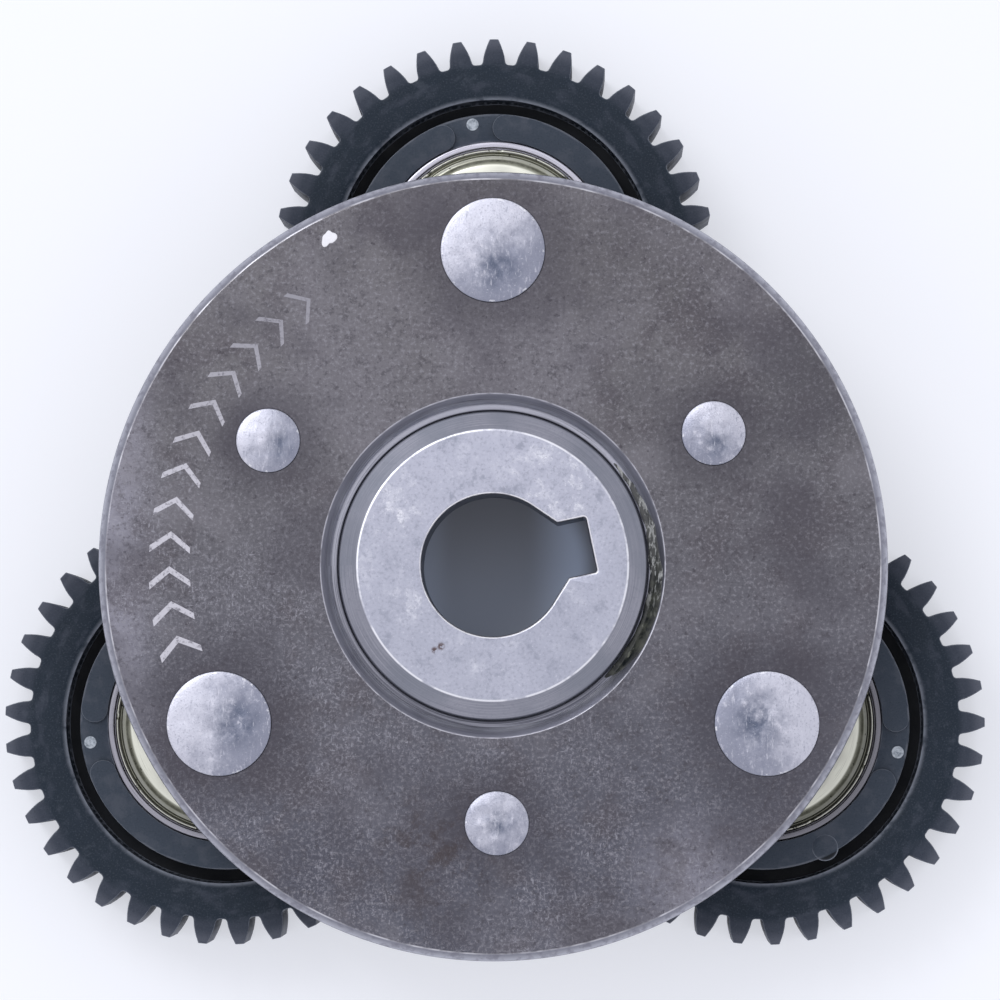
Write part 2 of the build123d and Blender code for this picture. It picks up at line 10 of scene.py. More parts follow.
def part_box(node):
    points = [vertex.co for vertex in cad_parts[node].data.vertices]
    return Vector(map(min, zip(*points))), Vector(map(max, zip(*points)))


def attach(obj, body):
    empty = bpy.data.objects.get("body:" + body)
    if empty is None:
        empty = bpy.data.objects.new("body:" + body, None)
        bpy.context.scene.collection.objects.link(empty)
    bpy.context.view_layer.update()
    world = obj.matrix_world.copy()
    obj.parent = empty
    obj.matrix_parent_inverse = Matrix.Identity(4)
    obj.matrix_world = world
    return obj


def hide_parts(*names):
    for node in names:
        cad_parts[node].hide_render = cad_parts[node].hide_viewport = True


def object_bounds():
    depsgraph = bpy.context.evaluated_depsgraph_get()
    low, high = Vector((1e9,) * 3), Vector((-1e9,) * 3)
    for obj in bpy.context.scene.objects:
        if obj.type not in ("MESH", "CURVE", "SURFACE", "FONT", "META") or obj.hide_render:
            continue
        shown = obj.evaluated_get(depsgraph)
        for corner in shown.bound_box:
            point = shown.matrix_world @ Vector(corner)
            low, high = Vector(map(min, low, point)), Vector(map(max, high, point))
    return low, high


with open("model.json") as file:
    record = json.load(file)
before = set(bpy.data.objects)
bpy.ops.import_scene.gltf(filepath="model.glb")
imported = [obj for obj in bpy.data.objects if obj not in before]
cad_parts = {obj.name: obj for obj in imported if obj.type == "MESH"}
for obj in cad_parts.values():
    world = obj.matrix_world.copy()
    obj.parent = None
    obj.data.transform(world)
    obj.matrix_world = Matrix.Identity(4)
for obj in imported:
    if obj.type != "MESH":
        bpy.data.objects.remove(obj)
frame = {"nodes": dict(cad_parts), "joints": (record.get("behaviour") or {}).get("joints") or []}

CAD_LOW, CAD_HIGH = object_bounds()
MM = 0.001
scene = bpy.context.scene
scene.view_settings.view_transform = "Standard"


# ---------------------------------------------------------------- sizes from the frame

PLATE_LOW, PLATE_HIGH = (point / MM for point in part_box("front_plate"))
BACK_LOW, BACK_HIGH = (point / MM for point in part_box("back_plate"))
PLATE_R = PLATE_HIGH.x
PLATE_TOP = PLATE_HIGH.z
PLATE_BOTTOM = PLATE_LOW.z
RACE_TOP = (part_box("inner_race")[1] / MM).z
PLANETS = (1, 2, 3)

CENTRES = {}
for joint in frame["joints"]:
    if joint["child"].startswith("planet_"):
        CENTRES[int(joint["child"][-1])] = Vector(joint["pos_m"]) / MM

RIVETS = {}
for number in PLANETS:
    low, high = (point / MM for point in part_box(f"body_rivet_{number}"))
    RIVETS[number] = (low + high) / 2
    RIVET_HEAD_R = (high.x - low.x) / 2

GEAR_LOW, GEAR_HIGH = (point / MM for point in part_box("planet_gear_1"))
GEAR_TOP = GEAR_HIGH.z
GEAR_WIDTH = GEAR_HIGH.z - GEAR_LOW.z
FLOOR_Z = CAD_LOW.z


# ---------------------------------------------------------------- shapes


def waves(x, y, length, seed, count=9):
    """Smooth uneven value, about -1 to 1, over a plane. length is the size of a lump."""
    chance = np.random.default_rng(seed)
    total = np.zeros_like(np.asarray(x, float) + np.asarray(y, float))
    for _ in range(count):
        turn, phase = chance.uniform(0, 2 * pi, 2)
        pace = 2 * pi / (length * chance.uniform(0.7, 1.7))
        total = total + np.sin((x * cos(turn) + y * sin(turn)) * pace + phase)
    return total / count**0.5 * 0.8


def eased(points, radii, steps=4, closed=True):
    """Rounds the corners of a section; radii is one value or one for each corner."""
    points = [np.array(point, float) for point in points]
    count = len(points)
    radii = [radii] * count if np.isscalar(radii) else list(radii)
    rounded = []
    for index, point in enumerate(points):
        before, after = points[index - 1], points[(index + 1) % count]
        at_end = not closed and index in (0, count - 1)
        to_before, to_after = before - point, after - point
        room = 0.45 * min(np.linalg.norm(to_before), np.linalg.norm(to_after))
        reach = min(radii[index], room)
        if at_end or reach < 1e-4:
            rounded.append(tuple(point))
            continue
        start = point + to_before / np.linalg.norm(to_before) * reach
        end = point + to_after / np.linalg.norm(to_after) * reach
        for step in range(steps + 1):
            u = step / steps
            spot = start * (1 - u) ** 2 + point * 2 * u * (1 - u) + end * u**2
            rounded.append(tuple(spot))
    return rounded


def circle(radius, angles):
    """(x, y) points on a circle."""
    return np.stack([radius * np.cos(angles), radius * np.sin(angles)], 1)


def level(points, height):
    """(x, y) points at one height."""
    return np.column_stack([points, np.full(len(points), float(height))])


def spun(points, turn):
    """(x, y) points turned about the origin."""
    x, y = points[:, 0], points[:, 1]
    return np.stack([x * cos(turn) - y * sin(turn), x * sin(turn) + y * cos(turn)], 1)


def ring_at(radius, height, steps):
    """Level circle of points."""
    return level(circle(radius, np.arange(steps) * 2 * pi / steps), height)


def turned(section, steps):
    """Rings of a section turned about Z."""
    return [ring_at(radius, height, steps) for radius, height in section]


def skin(rings, closed=True):
    """Vertices and faces that join rings of equal length into one surface."""
    count = len(rings[0])
    verts = np.concatenate(rings)
    spans = len(rings) if closed else len(rings) - 1
    here = np.arange(count)
    after = (here + 1) % count
    faces = []
    for span in range(spans):
        a, b = span * count, ((span + 1) % len(rings)) * count
        faces.append(np.stack([here + a, after + a, after + b, here + b], 1))
    return verts, np.concatenate(faces)


def merged(*parts):
    """One vertex and face list out of several."""
    verts, faces, offset = [], [], 0
    for part_verts, part_faces in parts:
        verts.append(np.asarray(part_verts, float))
        faces.extend((np.asarray(face) + offset).tolist() for face in part_faces)
        offset += len(part_verts)
    return np.concatenate(verts), faces


def soften_normals(obj, sharp):
    """Smooth shading that keeps flats flat and true corners sharp."""
    mesh = obj.data
    mesh.polygons.foreach_set("use_smooth", [True] * len(mesh.polygons))
    mesh.set_sharp_from_angle(angle=radians(sharp))
    weighted = obj.modifiers.new("weighted", "WEIGHTED_NORMAL")
    weighted.keep_sharp = True
    weighted.weight = 80


def solid(name, shape, material, body, nodes=(), origin=(0, 0, 0), sharp=38, cuts=()):
    """A finished piece from vertices in mm about its own origin."""
    verts, faces = shape
    mesh = bpy.data.meshes.new(name)
    mesh.from_pydata((np.asarray(verts) * MM).tolist(), [], [list(face) for face in faces])
    work = bmesh.new()
    work.from_mesh(mesh)
    bmesh.ops.remove_doubles(work, verts=work.verts, dist=1e-7)
    bmesh.ops.recalc_face_normals(work, faces=work.faces)
    work.to_mesh(mesh)
    work.free()
    obj = bpy.data.objects.new(name, mesh)
    scene.collection.objects.link(obj)
    for radius, low, high, x, y in cuts:
        cut_out(obj, radius, low, high, x, y)
    obj.location = Vector(origin) * MM
    obj.data.materials.clear()
    obj.data.materials.append(material)
    soften_normals(obj, sharp)
    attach(obj, body)
    if nodes:
        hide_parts(*nodes)
    return obj


def cut_out(obj, radius, low, high, x, y):
    """Bores one round hole through a piece."""
    verts, faces = skin([ring_at(radius, low, 96), ring_at(radius, high, 96)], closed=False)
    mesh = bpy.data.meshes.new("cutter")
    caps = [list(range(96))[::-1], list(range(96, 192))]
    mesh.from_pydata(((verts + (x, y, 0)) * MM).tolist(), [], faces.tolist() + caps)
    cutter = bpy.data.objects.new("cutter", mesh)
    scene.collection.objects.link(cutter)
    boolean = obj.modifiers.new("cut", "BOOLEAN")
    boolean.operation = "DIFFERENCE"
    boolean.solver = "EXACT"
    boolean.object = cutter
    graph = bpy.context.evaluated_depsgraph_get()
    result = bpy.data.meshes.new_from_object(obj.evaluated_get(graph))
    obj.modifiers.clear()
    obj.data = result
    bpy.data.objects.remove(cutter)


# ---------------------------------------------------------------- finishes


def tone(red, green, blue):
    """Display colour, 0 to 255, as linear light."""
    linear = []
    for value in (red, green, blue):
        share = value / 255
        linear.append(share / 12.92 if share <= 0.04045 else ((share + 0.055) / 1.055) ** 2.4)
    return (*linear, 1.0)


class Finish:
    """Builds one procedural material in the piece's own coordinates."""

    def __init__(self, name, centre=(0.0, 0.0)):
        self.material = bpy.data.materials.new(name)
        self.material.use_nodes = True
        self.tree = self.material.node_tree
        self.tree.nodes.clear()
        spot = self.node("ShaderNodeTexCoord")
        scaled = {0: spot.outputs["Object"], "Scale": 1 / MM}
        in_mm = self.node("ShaderNodeVectorMath", scaled, operation="SCALE").outputs[0]
        moved = {0: in_mm, 1: (centre[0], centre[1], 0.0)}
        self.place = self.node("ShaderNodeVectorMath", moved, operation="SUBTRACT").outputs[0]
        self.x, self.y, self.z = self.split(self.place)
        self.nx, self.ny, self.nz = self.split(spot.outputs["Normal"])
        square = self.math("ADD", self.times(self.x, self.x), self.times(self.y, self.y))
        self.radius = self.math("SQRT", square)
        self.angle = self.math("ARCTAN2", self.y, self.x)

    def node(self, kind, inputs=None, **settings):
        made = self.tree.nodes.new(kind)
        for key, value in settings.items():
            setattr(made, key, value)
        for key, value in (inputs or {}).items():
            self.join(made.inputs[key], value)
        return made

    def join(self, socket, value):
        if isinstance(value, bpy.types.NodeSocket):
            self.tree.links.new(value, socket)
        else:
            socket.default_value = value

    def split(self, vector):
        return tuple(self.node("ShaderNodeSeparateXYZ", {0: vector}).outputs)

    def math(self, operation, *values):
        made = self.node("ShaderNodeMath", operation=operation)
        for socket, value in zip(made.inputs, values):
            self.join(socket, value)
        return made.outputs[0]

    def times(self, *values):
        total = values[0]
        for value in values[1:]:
            total = self.math("MULTIPLY", total, value)
        return total

    def ease(self, value, low, high, start=0.0, end=1.0):
        """Smooth change from start to end as value goes from low to high."""
        if low > high:
            low, high, start, end = high, low, end, start
        inputs = {0: value, 1: low, 2: high, 3: start, 4: end}
        return self.node("ShaderNodeMapRange", inputs, interpolation_type="SMOOTHSTEP").outputs[0]

    def band(self, value, centre, half, soft):
        """1 within half of the centre, falling to 0 over soft."""
        away = self.math("ABSOLUTE", self.math("SUBTRACT", value, centre))
        return self.ease(away, half, half + soft, 1.0, 0.0)

    def blob(self, x, y, reach, soft):
        """1 near a place on the face."""
        dx, dy = self.math("SUBTRACT", self.x, x), self.math("SUBTRACT", self.y, y)
        far = self.math("SQRT", self.math("ADD", self.times(dx, dx), self.times(dy, dy)))
        return self.ease(far, reach, reach + soft, 1.0, 0.0)

    def uneven(self, vector, detail, rough):
        inputs = {"Vector": vector, "Scale": 1.0, "Detail": detail, "Roughness": rough}
        return self.node("ShaderNodeTexNoise", inputs).outputs[0]

    def noise(self, size, detail=4.0, rough=0.55, stretch=(1, 1, 1), turn=0.0, shift=0.0):
        """Uneven value, 0 to 1; size is the lump size in mm."""
        mapping = {
            0: self.place,
            "Rotation": (0, 0, radians(turn)),
            "Scale": tuple(1 / (size * share) for share in stretch),
            "Location": (shift, shift * 0.7, shift * 0.3),
        }
        return self.uneven(self.node("ShaderNodeMapping", mapping).outputs[0], detail, rough)

    def rings(self, size, along=60.0):
        """Uneven lathe lines that follow the turning direction."""
        across = self.times(self.radius, 1 / size)
        around = self.times(self.angle, 1 / radians(along))
        polar = self.node("ShaderNodeCombineXYZ", {0: across, 1: around, 2: 0.0}).outputs[0]
        return self.uneven(polar, 3.0, 0.5)

    def mix(self, share, first, second):
        return self.node("ShaderNodeMix", {0: share, 6: first, 7: second}, data_type="RGBA").outputs[2]

    def coat(self, share, *colour):
        """Lays one more colour over the base: display values, or a mix made before."""
        over = tone(*colour) if len(colour) == 3 else colour[0]
        self.base = self.mix(share, self.base, over)

    def done(self, rough, metal=1.0, height=None, lift=0.02, specular=0.5, glow=None):
        """Ends the graph. height is uneven relief and lift its depth in mm."""
        inputs = {"Base Color": self.base, "Roughness": rough}
        inputs |= {"Metallic": metal, "Specular IOR Level": specular}
        shader = self.node("ShaderNodeBsdfPrincipled", inputs)
        if glow is not None:
            self.join(shader.inputs["Emission Color"], glow[0])
            self.join(shader.inputs["Emission Strength"], glow[1])
        if height is not None:
            bump = self.node("ShaderNodeBump", {"Height": height, "Strength": 1.0, "Distance": lift * MM})
            self.tree.links.new(bump.outputs[0], shader.inputs["Normal"])
        output = self.node("ShaderNodeOutputMaterial")
        self.tree.links.new(shader.outputs[0], output.inputs["Surface"])
        return self.material


COUNTERSINK_R = 18.75
LEDGE_R = 17.6
HOLE_R = 16.92
LEDGE_DEPTH = 1.15
RIM_R = PLATE_R - 0.85
RACE_FACE_R = 14.75
PIN_HEAD_R = 5.7


def plate_finish():
    """Ground and phosphated plate: smooth above, scuffed and speckled below."""
    f = Finish("ground_steel")
    mottle = f.noise(7, 6, 0.65)
    cloud = f.noise(24, 4, 0.55, shift=4.0)
    grain = f.noise(0.42, 4, 0.7)
    grit = f.noise(0.9, 5, 0.75, shift=6.0)
    brushed = f.noise(0.5, 3, 0.6, stretch=(1, 9, 1), turn=2)
    # painted light: the plate is darker towards the bottom and paler towards the top
    upward = f.ease(f.y, -42, 34)
    f.base = f.mix(upward, tone(94, 95, 106), tone(111, 109, 113))
    # painted light: the plate's far left edge is paler
    f.coat(f.ease(f.x, -35, -42, 0.0, 0.85), 150, 149, 162)
    for x, y, reach, soft, share, colour in (
        (22, -34, 1, 9, 0.6, (148, 147, 160)),
        (-20, -35, 2, 8, 0.4, (78, 78, 88)),
        (20, 35, 2, 10, 0.5, (84, 82, 86)),
        (35, 20, 2, 9, 0.35, (78, 79, 84)),
    ):
        f.coat(f.times(f.blob(x, y, reach, soft), share), *colour)
    f.coat(f.ease(mottle, 0.46, 0.64, 0.0, 0.6), 90, 86, 92)
    f.coat(f.ease(cloud, 0.5, 0.68, 0.0, 0.5), 126, 124, 132)
    f.coat(f.ease(grit, 0.5, 0.66, 0.0, 0.6), 80, 78, 84)
    f.coat(f.ease(grit, 0.42, 0.28, 0.0, 0.4), 136, 135, 142)
    f.coat(f.ease(grain, 0.5, 0.66, 0.0, 0.6), 146, 145, 153)
    f.coat(f.ease(grain, 0.44, 0.3, 0.0, 0.6), 76, 74, 81)
    f.coat(f.ease(brushed, 0.38, 0.25, 0.0, 0.35), 84, 82, 90)
    low_left = f.math("ADD", f.times(f.x, -0.5), f.times(f.y, -0.87))
    scuffed = f.ease(low_left, -10, 20)
    patch = f.ease(f.noise(5.5, 4, 0.65, shift=12.0), 0.36, 0.6)
    haze = f.times(f.ease(f.noise(0.36, 4, 0.75, shift=15.0), 0.5, 0.66), scuffed, patch)
    f.coat(f.times(haze, 0.5), 150, 149, 160)
    speck = f.ease(f.noise(0.4, 2, 0.7, shift=9.0), 0.6, 0.68)
    scratch = f.ease(f.noise(0.26, 2, 0.5, stretch=(1, 3.5, 1), turn=38, shift=3.0), 0.64, 0.71)
    scratch_b = f.ease(f.noise(0.24, 2, 0.5, stretch=(4.5, 1, 1), turn=20, shift=7.0), 0.66, 0.73)
    marks = f.math("MAXIMUM", speck, f.math("MAXIMUM", scratch, scratch_b))
    marks = f.times(marks, scuffed, patch)
    f.coat(f.times(marks, 0.55), 164, 164, 174)
    broad = f.noise(13, 3, 0.5, shift=31.0)
    f.coat(f.ease(broad, 0.48, 0.66, 0.0, 0.5), 82, 80, 88)
    f.coat(f.ease(broad, 0.44, 0.3, 0.0, 0.35), 134, 132, 139)
    # painted shade: a dark halo on the plate around each pin and rivet head
    for places, head_r in ((CENTRES, PIN_HEAD_R), (RIVETS, RIVET_HEAD_R)):
        for place in places.values():
            f.coat(f.times(f.blob(place.x, place.y, head_r, head_r + 1.3), 0.5), 72, 70, 78)
    stain = f.times(f.blob(-6, -31, 1.0, 9.0), f.ease(f.noise(2.2, 5, 0.65, shift=2.0), 0.45, 0.62))
    f.coat(f.times(stain, 0.6), 72, 64, 64)
    dots = f.ease(f.noise(0.8, 2, 0.6, shift=21.0), 0.68, 0.75)
    f.coat(f.times(dots, 0.55), 70, 67, 74)
    rim_noise = f.noise(0.9, 4, 0.6, shift=5.0)
    outward = f.ease(f.radius, RIM_R + 0.1, PLATE_R - 0.1)
    rim = f.mix(outward, tone(138, 139, 150), tone(176, 177, 187))
    rim = f.mix(f.ease(rim_noise, 0.45, 0.65, 0.0, 0.6), rim, tone(120, 119, 131))
    f.coat(f.ease(f.radius, RIM_R - 0.02, RIM_R + 0.1), rim)
    # painted highlight: a bright broken line along the rim's break
    reflection_breaks = f.ease(f.noise(3.2, 3, 0.6, shift=8.0), 0.40, 0.62, 0.15, 0.75)
    edge = f.times(f.band(f.radius, RIM_R + 0.01, 0.03, 0.09), reflection_breaks)
    f.coat(edge, 222, 222, 230)
    turning = f.rings(0.1, 40)
    # painted light: the countersink slope is paler towards its foot
    slope = f.mix(f.ease(f.radius, 18.3, LEDGE_R + 0.1), tone(158, 159, 171), tone(236, 237, 246))
    slope = f.mix(f.ease(turning, 0.4, 0.65, 0.0, 0.6), slope, tone(138, 138, 150))
    slope = f.mix(f.ease(turning, 0.44, 0.3, 0.0, 0.7), slope, tone(98, 98, 108))
    shade = f.times(f.ease(f.angle, -0.95, -0.6), f.ease(f.angle, 0.5, -0.1))
    slope = f.mix(f.times(shade, 0.75), slope, tone(70, 72, 76))
    f.coat(f.ease(f.radius, COUNTERSINK_R, COUNTERSINK_R - 0.06), slope)
    # painted light: the ledge is darker towards the bottom and paler towards the top
    low = f.ease(f.y, -15, 6)
    ledge = f.mix(low, tone(96, 97, 108), tone(176, 177, 189))
    ledge = f.mix(f.ease(turning, 0.4, 0.65, 0.0, 0.5), ledge, tone(176, 177, 188))
    ledge = f.mix(f.ease(turning, 0.46, 0.34, 0.0, 0.65), ledge, tone(92, 93, 103))
    # painted shade: the ledge is darker at the gap by the race
    ledge = f.mix(f.ease(f.radius, HOLE_R + 0.2, HOLE_R + 0.06), ledge, tone(84, 85, 95))
    f.coat(f.ease(f.radius, LEDGE_R + 0.16, LEDGE_R - 0.02), ledge)
    # painted highlight: a bright broken line along the countersink's lip
    broken = f.ease(f.noise(2.6, 3, 0.6), 0.32, 0.55, 0.2, 0.9)
    lip = f.times(f.band(f.radius, COUNTERSINK_R - 0.02, 0.03, 0.08), broken)
    f.coat(lip, 204, 204, 214)
    turned_wall = f.noise(0.2, 3, 0.6, stretch=(60, 60, 1))
    wall = f.mix(f.ease(turned_wall, 0.35, 0.65), tone(116, 116, 126), tone(150, 150, 160))
    wall = f.mix(f.ease(rim_noise, 0.45, 0.65, 0.0, 0.4), wall, tone(104, 103, 113))
    wall_share = f.times(f.ease(f.nz, 0.45, 0.25), f.ease(f.radius, RIM_R, RIM_R + 0.1))
    f.coat(wall_share, wall)
    rough = f.ease(mottle, 0.3, 0.7, 0.38, 0.5)
    relief = f.math("ADD", f.times(grain, 0.5), f.times(grit, 0.6))
    return f.done(rough, height=relief, lift=0.03)


def back_finish():
    """The same steel behind, with turning lines."""
    f = Finish("ground_steel_rear")
    lines = f.rings(0.22, 50)
    f.base = f.mix(f.ease(lines, 0.35, 0.65), tone(100, 98, 107), tone(122, 120, 129))
    f.coat(f.ease(f.noise(7, 5, 0.6), 0.45, 0.7, 0.0, 0.6), 90, 87, 95)
    f.coat(f.ease(f.noise(0.5, 2, 0.6), 0.66, 0.74, 0.0, 0.5), 150, 149, 158)
    return f.done(f.ease(lines, 0.3, 0.7, 0.34, 0.48), height=lines, lift=0.015)


def cam_finish():
    """Dark oiled steel of the middle ring."""
    f = Finish("dark_steel")
    mill = f.noise(0.22, 3, 0.6, stretch=(60, 60, 1))
    f.base = f.mix(f.noise(3.5, 5, 0.6), tone(74, 72, 79), tone(100, 98, 105))
    f.coat(f.ease(mill, 0.5, 0.68, 0.0, 0.5), 126, 125, 132)
    f.coat(f.ease(f.noise(0.4, 4, 0.7, shift=5.0), 0.58, 0.72, 0.0, 0.4), 60, 58, 64)
    return f.done(f.ease(mill, 0.3, 0.7, 0.36, 0.5), height=mill, lift=0.02)


def race_finish():
    """Hardened, ground race: pale face with smudges, darker turned cone."""
    f = Finish("race_steel")
    grain = f.noise(0.34, 4, 0.7)
    smear = f.noise(2.4, 7, 0.74, stretch=(1, 1.2, 1), turn=24)
    broad = f.noise(5, 3, 0.5, shift=9.0)
    f.base = f.mix(f.noise(7, 4, 0.55), tone(168, 171, 187), tone(190, 192, 207))
    # painted light: the race face is paler towards the top
    f.coat(f.ease(f.y, -8, 13, 0.0, 0.3), 202, 203, 219)
    near = f.math("MAXIMUM", f.blob(6.5, 8.6, 2.6, 6.5), f.blob(-11.0, 6.0, 1.4, 3.4))
    near = f.math("MAXIMUM", near, f.times(f.blob(-9.5, -4.0, 1.0, 3.0), 0.8))
    near = f.math("MAXIMUM", near, f.times(f.ease(broad, 0.45, 0.65), 0.6))
    high = f.times(f.ease(smear, 0.5, 0.6), near)
    fleck = f.times(f.ease(f.noise(0.7, 5, 0.75, shift=17.0), 0.5, 0.6), near)
    f.coat(f.times(high, fleck, 0.8), 232, 233, 241)
    f.coat(f.times(high, 0.4), 220, 221, 231)
    f.coat(f.ease(smear, 0.46, 0.34, 0.0, 0.75), 154, 158, 174)
    f.coat(f.ease(grain, 0.5, 0.68, 0.0, 0.6), 152, 155, 170)
    f.coat(f.ease(grain, 0.42, 0.3, 0.0, 0.5), 212, 213, 224)
    pit = f.math("MAXIMUM", f.blob(-6.3, -9.2, 0.14, 0.35), f.blob(-5.6, -8.8, 0.18, 0.4))
    pit = f.times(pit, f.ease(f.noise(0.35, 3, 0.6, shift=6.0), 0.36, 0.52))
    f.coat(f.times(pit, 0.9), 90, 72, 70)
    cone = f.mix(f.ease(f.rings(0.1, 40), 0.3, 0.7), tone(138, 140, 152), tone(160, 161, 173))
    cone = f.mix(f.ease(grain, 0.5, 0.7, 0.0, 0.35), cone, tone(120, 122, 134))
    cone = f.mix(f.ease(f.noise(8, 2, 0.5, shift=3.0), 0.42, 0.62, 0.0, 0.55), cone, tone(126, 131, 143))
    # painted shade: the cone is darker at the gap by the plate
    cone = f.mix(f.ease(f.radius, HOLE_R - 0.34, HOLE_R - 0.2), cone, tone(92, 94, 104))
    f.coat(f.ease(f.radius, RACE_FACE_R, RACE_FACE_R + 0.1), cone)
    broken = f.ease(f.noise(2.4, 3, 0.6, shift=2.0), 0.36, 0.52, 0.1, 0.9)
    glint = f.times(f.band(f.radius, RACE_FACE_R - 0.03, 0.05, 0.1), broken)
    f.coat(glint, 240, 241, 248)
    upright = f.ease(f.nz, 0.75, 0.3)
    wall = f.mix(f.noise(0.9, 4, 0.6, stretch=(1, 1, 4)), tone(92, 96, 110), tone(126, 130, 144))
    f.coat(upright, wall)
    # painted highlight: near white on the tilted faces by the bore, broken by noise
    tilted = f.times(f.ease(f.nz, 0.96, 0.88), f.ease(f.nz, 0.4, 0.55), f.ease(f.radius, 13.8, 13.2))
    f.coat(f.times(tilted, f.ease(f.noise(3, 3, 0.6, shift=11.0), 0.3, 0.5)), 250, 250, 255)
    rough = f.ease(smear, 0.3, 0.7, 0.34, 0.46)
    relief = f.math("ADD", f.times(smear, 0.7), f.times(grain, 0.5))
    return f.done(rough, height=relief, lift=0.022)


def head_finish(name, head_r, brushed, bright, dish, reach):
    """Peened head: painted light makes it bright towards one side, and painted shade makes its struck dish
    darker and bluer.
    """
    f = Finish(name)
    dents = f.noise(1.6, 6, 0.68, stretch=(1, brushed, 1), shift=dish[0] + 5)
    cloud = f.noise(3.4, 4, 0.6, shift=dish[1] + 9)
    fine = f.noise(0.24, 4, 0.8, shift=dish[1])
    streak = f.noise(0.3, 3, 0.6, stretch=(1, 4, 1), turn=10 * dish[0] + 20, shift=dish[0])
    # painted light: the head is paler towards its lit side
    toward = f.math("ADD", f.times(f.x, bright[0]), f.times(f.y, bright[1]))
    toward = f.math("ADD", toward, f.times(f.math("SUBTRACT", dents, 0.5), 9.0))
    toward = f.math("ADD", toward, f.times(f.math("SUBTRACT", cloud, 0.5), 9.0))
    f.base = f.mix(f.ease(toward, -3.6, 3.8), tone(148, 151, 168), tone(203, 204, 217))
    # painted shade: a dark bluish spot over the struck dish
    spot = f.blob(dish[0], dish[1], reach * 0.2, reach * 1.1)
    spot = f.times(spot, f.ease(dents, 0.62, 0.38, 0.3, 1.0))
    f.coat(f.times(spot, 0.95), 98, 106, 126)
    f.coat(f.ease(dents, 0.58, 0.68, 0.0, 0.55), 216, 216, 227)
    f.coat(f.ease(streak, 0.58, 0.72, 0.0, 0.5), 216, 217, 228)
    f.coat(f.ease(streak, 0.4, 0.28, 0.0, 0.5), 134, 138, 155)
    f.coat(f.ease(fine, 0.53, 0.68, 0.0, 0.65), 132, 135, 151)
    f.coat(f.ease(fine, 0.4, 0.28, 0.0, 0.75), 228, 229, 238)
    # painted highlight: bright glints along the head's edge
    edge_glints = f.ease(f.noise(0.9, 3, 0.6, shift=dish[1] + 3), 0.56, 0.64)
    edge = f.band(f.radius, head_r - 0.15, 0.04, 0.12)
    f.coat(f.times(edge, edge_glints, 0.6), 244, 245, 250)
    relief = f.math("ADD", f.times(dents, 0.8), f.times(fine, 0.4))
    return f.done(f.ease(dents, 0.3, 0.7, 0.34, 0.48), height=relief, lift=0.05)


def nylon_finish():
    """Black moulded nylon, slightly paler on the hub, with teeth paler as painted light and painted shade and
    highlights on groove and edges.
    """
    f = Finish("black_nylon")
    cloud = f.noise(3.2, 5, 0.6)
    flow = f.rings(1.4, 9)
    fine = f.noise(0.2, 3, 0.7)
    f.base = f.mix(cloud, tone(18, 31, 44), tone(32, 43, 56))
    # painted light: the teeth are paler towards their tips
    f.coat(f.ease(f.radius, 21.2, 22.4, 0.0, 0.85), 54, 60, 73)
    f.coat(f.ease(f.radius, 22.6, 24.2, 0.0, 0.85), 84, 88, 100)
    f.coat(f.ease(flow, 0.52, 0.7, 0.0, 0.6), 56, 62, 75)
    f.coat(f.ease(f.radius, 16.3, 15.9, 0.0, 0.85), 58, 67, 80)
    f.coat(f.ease(fine, 0.52, 0.7, 0.0, 0.5), 72, 78, 90)
    f.coat(f.ease(fine, 0.44, 0.3, 0.0, 0.5), 20, 28, 38)
    scuff = f.times(f.ease(f.radius, 17.7, 18.6), f.ease(f.noise(2.4, 6, 0.7, shift=3.0), 0.54, 0.72))
    f.coat(f.times(scuff, 0.45), 70, 76, 88)
    # painted shade: near black in the groove between hub and rim
    groove = f.times(f.ease(f.radius, 16.06, 16.2), f.ease(f.radius, 17.56, 17.42))
    f.coat(f.times(groove, 0.85), 6, 10, 18)
    # painted highlight: paler tone on bevelled edges, broken up by noise
    bevel_glint_breaks = f.ease(f.noise(1.8, 3, 0.6, shift=12.0), 0.3, 0.5, 0.25, 1.0)
    bevel = f.times(f.ease(f.nz, 0.985, 0.9), f.ease(f.nz, 0.1, 0.3), bevel_glint_breaks)
    f.coat(f.times(bevel, 0.8), 132, 138, 150)
    # painted highlight: a pale broken line at the rim's inner edge
    rim_edge = f.times(f.band(f.radius, 17.66, 0.06, 0.14), f.ease(f.noise(2.2, 3, 0.6), 0.45, 0.62))
    f.coat(f.times(rim_edge, 0.6), 104, 108, 118)
    patchy = f.times(f.ease(f.radius, 16.0, 15.8), f.ease(f.noise(2.6, 5, 0.65, shift=8.0), 0.45, 0.65))
    f.coat(f.times(patchy, 0.5), 78, 83, 94)
    # painted highlight: a pale broken line at the hub's edge
    hub_edge = f.times(f.band(f.radius, 15.98, 0.05, 0.12), f.ease(f.noise(2.6, 3, 0.6, shift=5.0), 0.4, 0.6))
    f.coat(f.times(hub_edge, 0.6), 104, 108, 118)
    rough = f.ease(cloud, 0.3, 0.7, 0.44, 0.58)
    relief = f.math("ADD", f.times(fine, 0.3), f.times(f.noise(0.9, 3, 0.6), 0.7))
    return f.done(rough, metal=0.0, height=relief, lift=0.02, specular=0.22)


def mark_highlight_finish():
    """Ejector marks: pale flats as painted highlight, darker sloped walls as painted shade."""
    f = Finish("nylon_mark")
    sheen_noise = f.noise(0.5, 4, 0.7)
    # painted highlight: pale flat faces
    f.base = f.mix(f.ease(sheen_noise, 0.35, 0.6), tone(120, 130, 142), tone(184, 192, 202))
    # painted shade: the sloped walls are darker
    slope = f.math("ABSOLUTE", f.nz)
    f.coat(f.ease(slope, 0.995, 0.95), 60, 68, 80)
    return f.done(0.4, metal=0.0, height=sheen_noise, lift=0.03, specular=0.3)


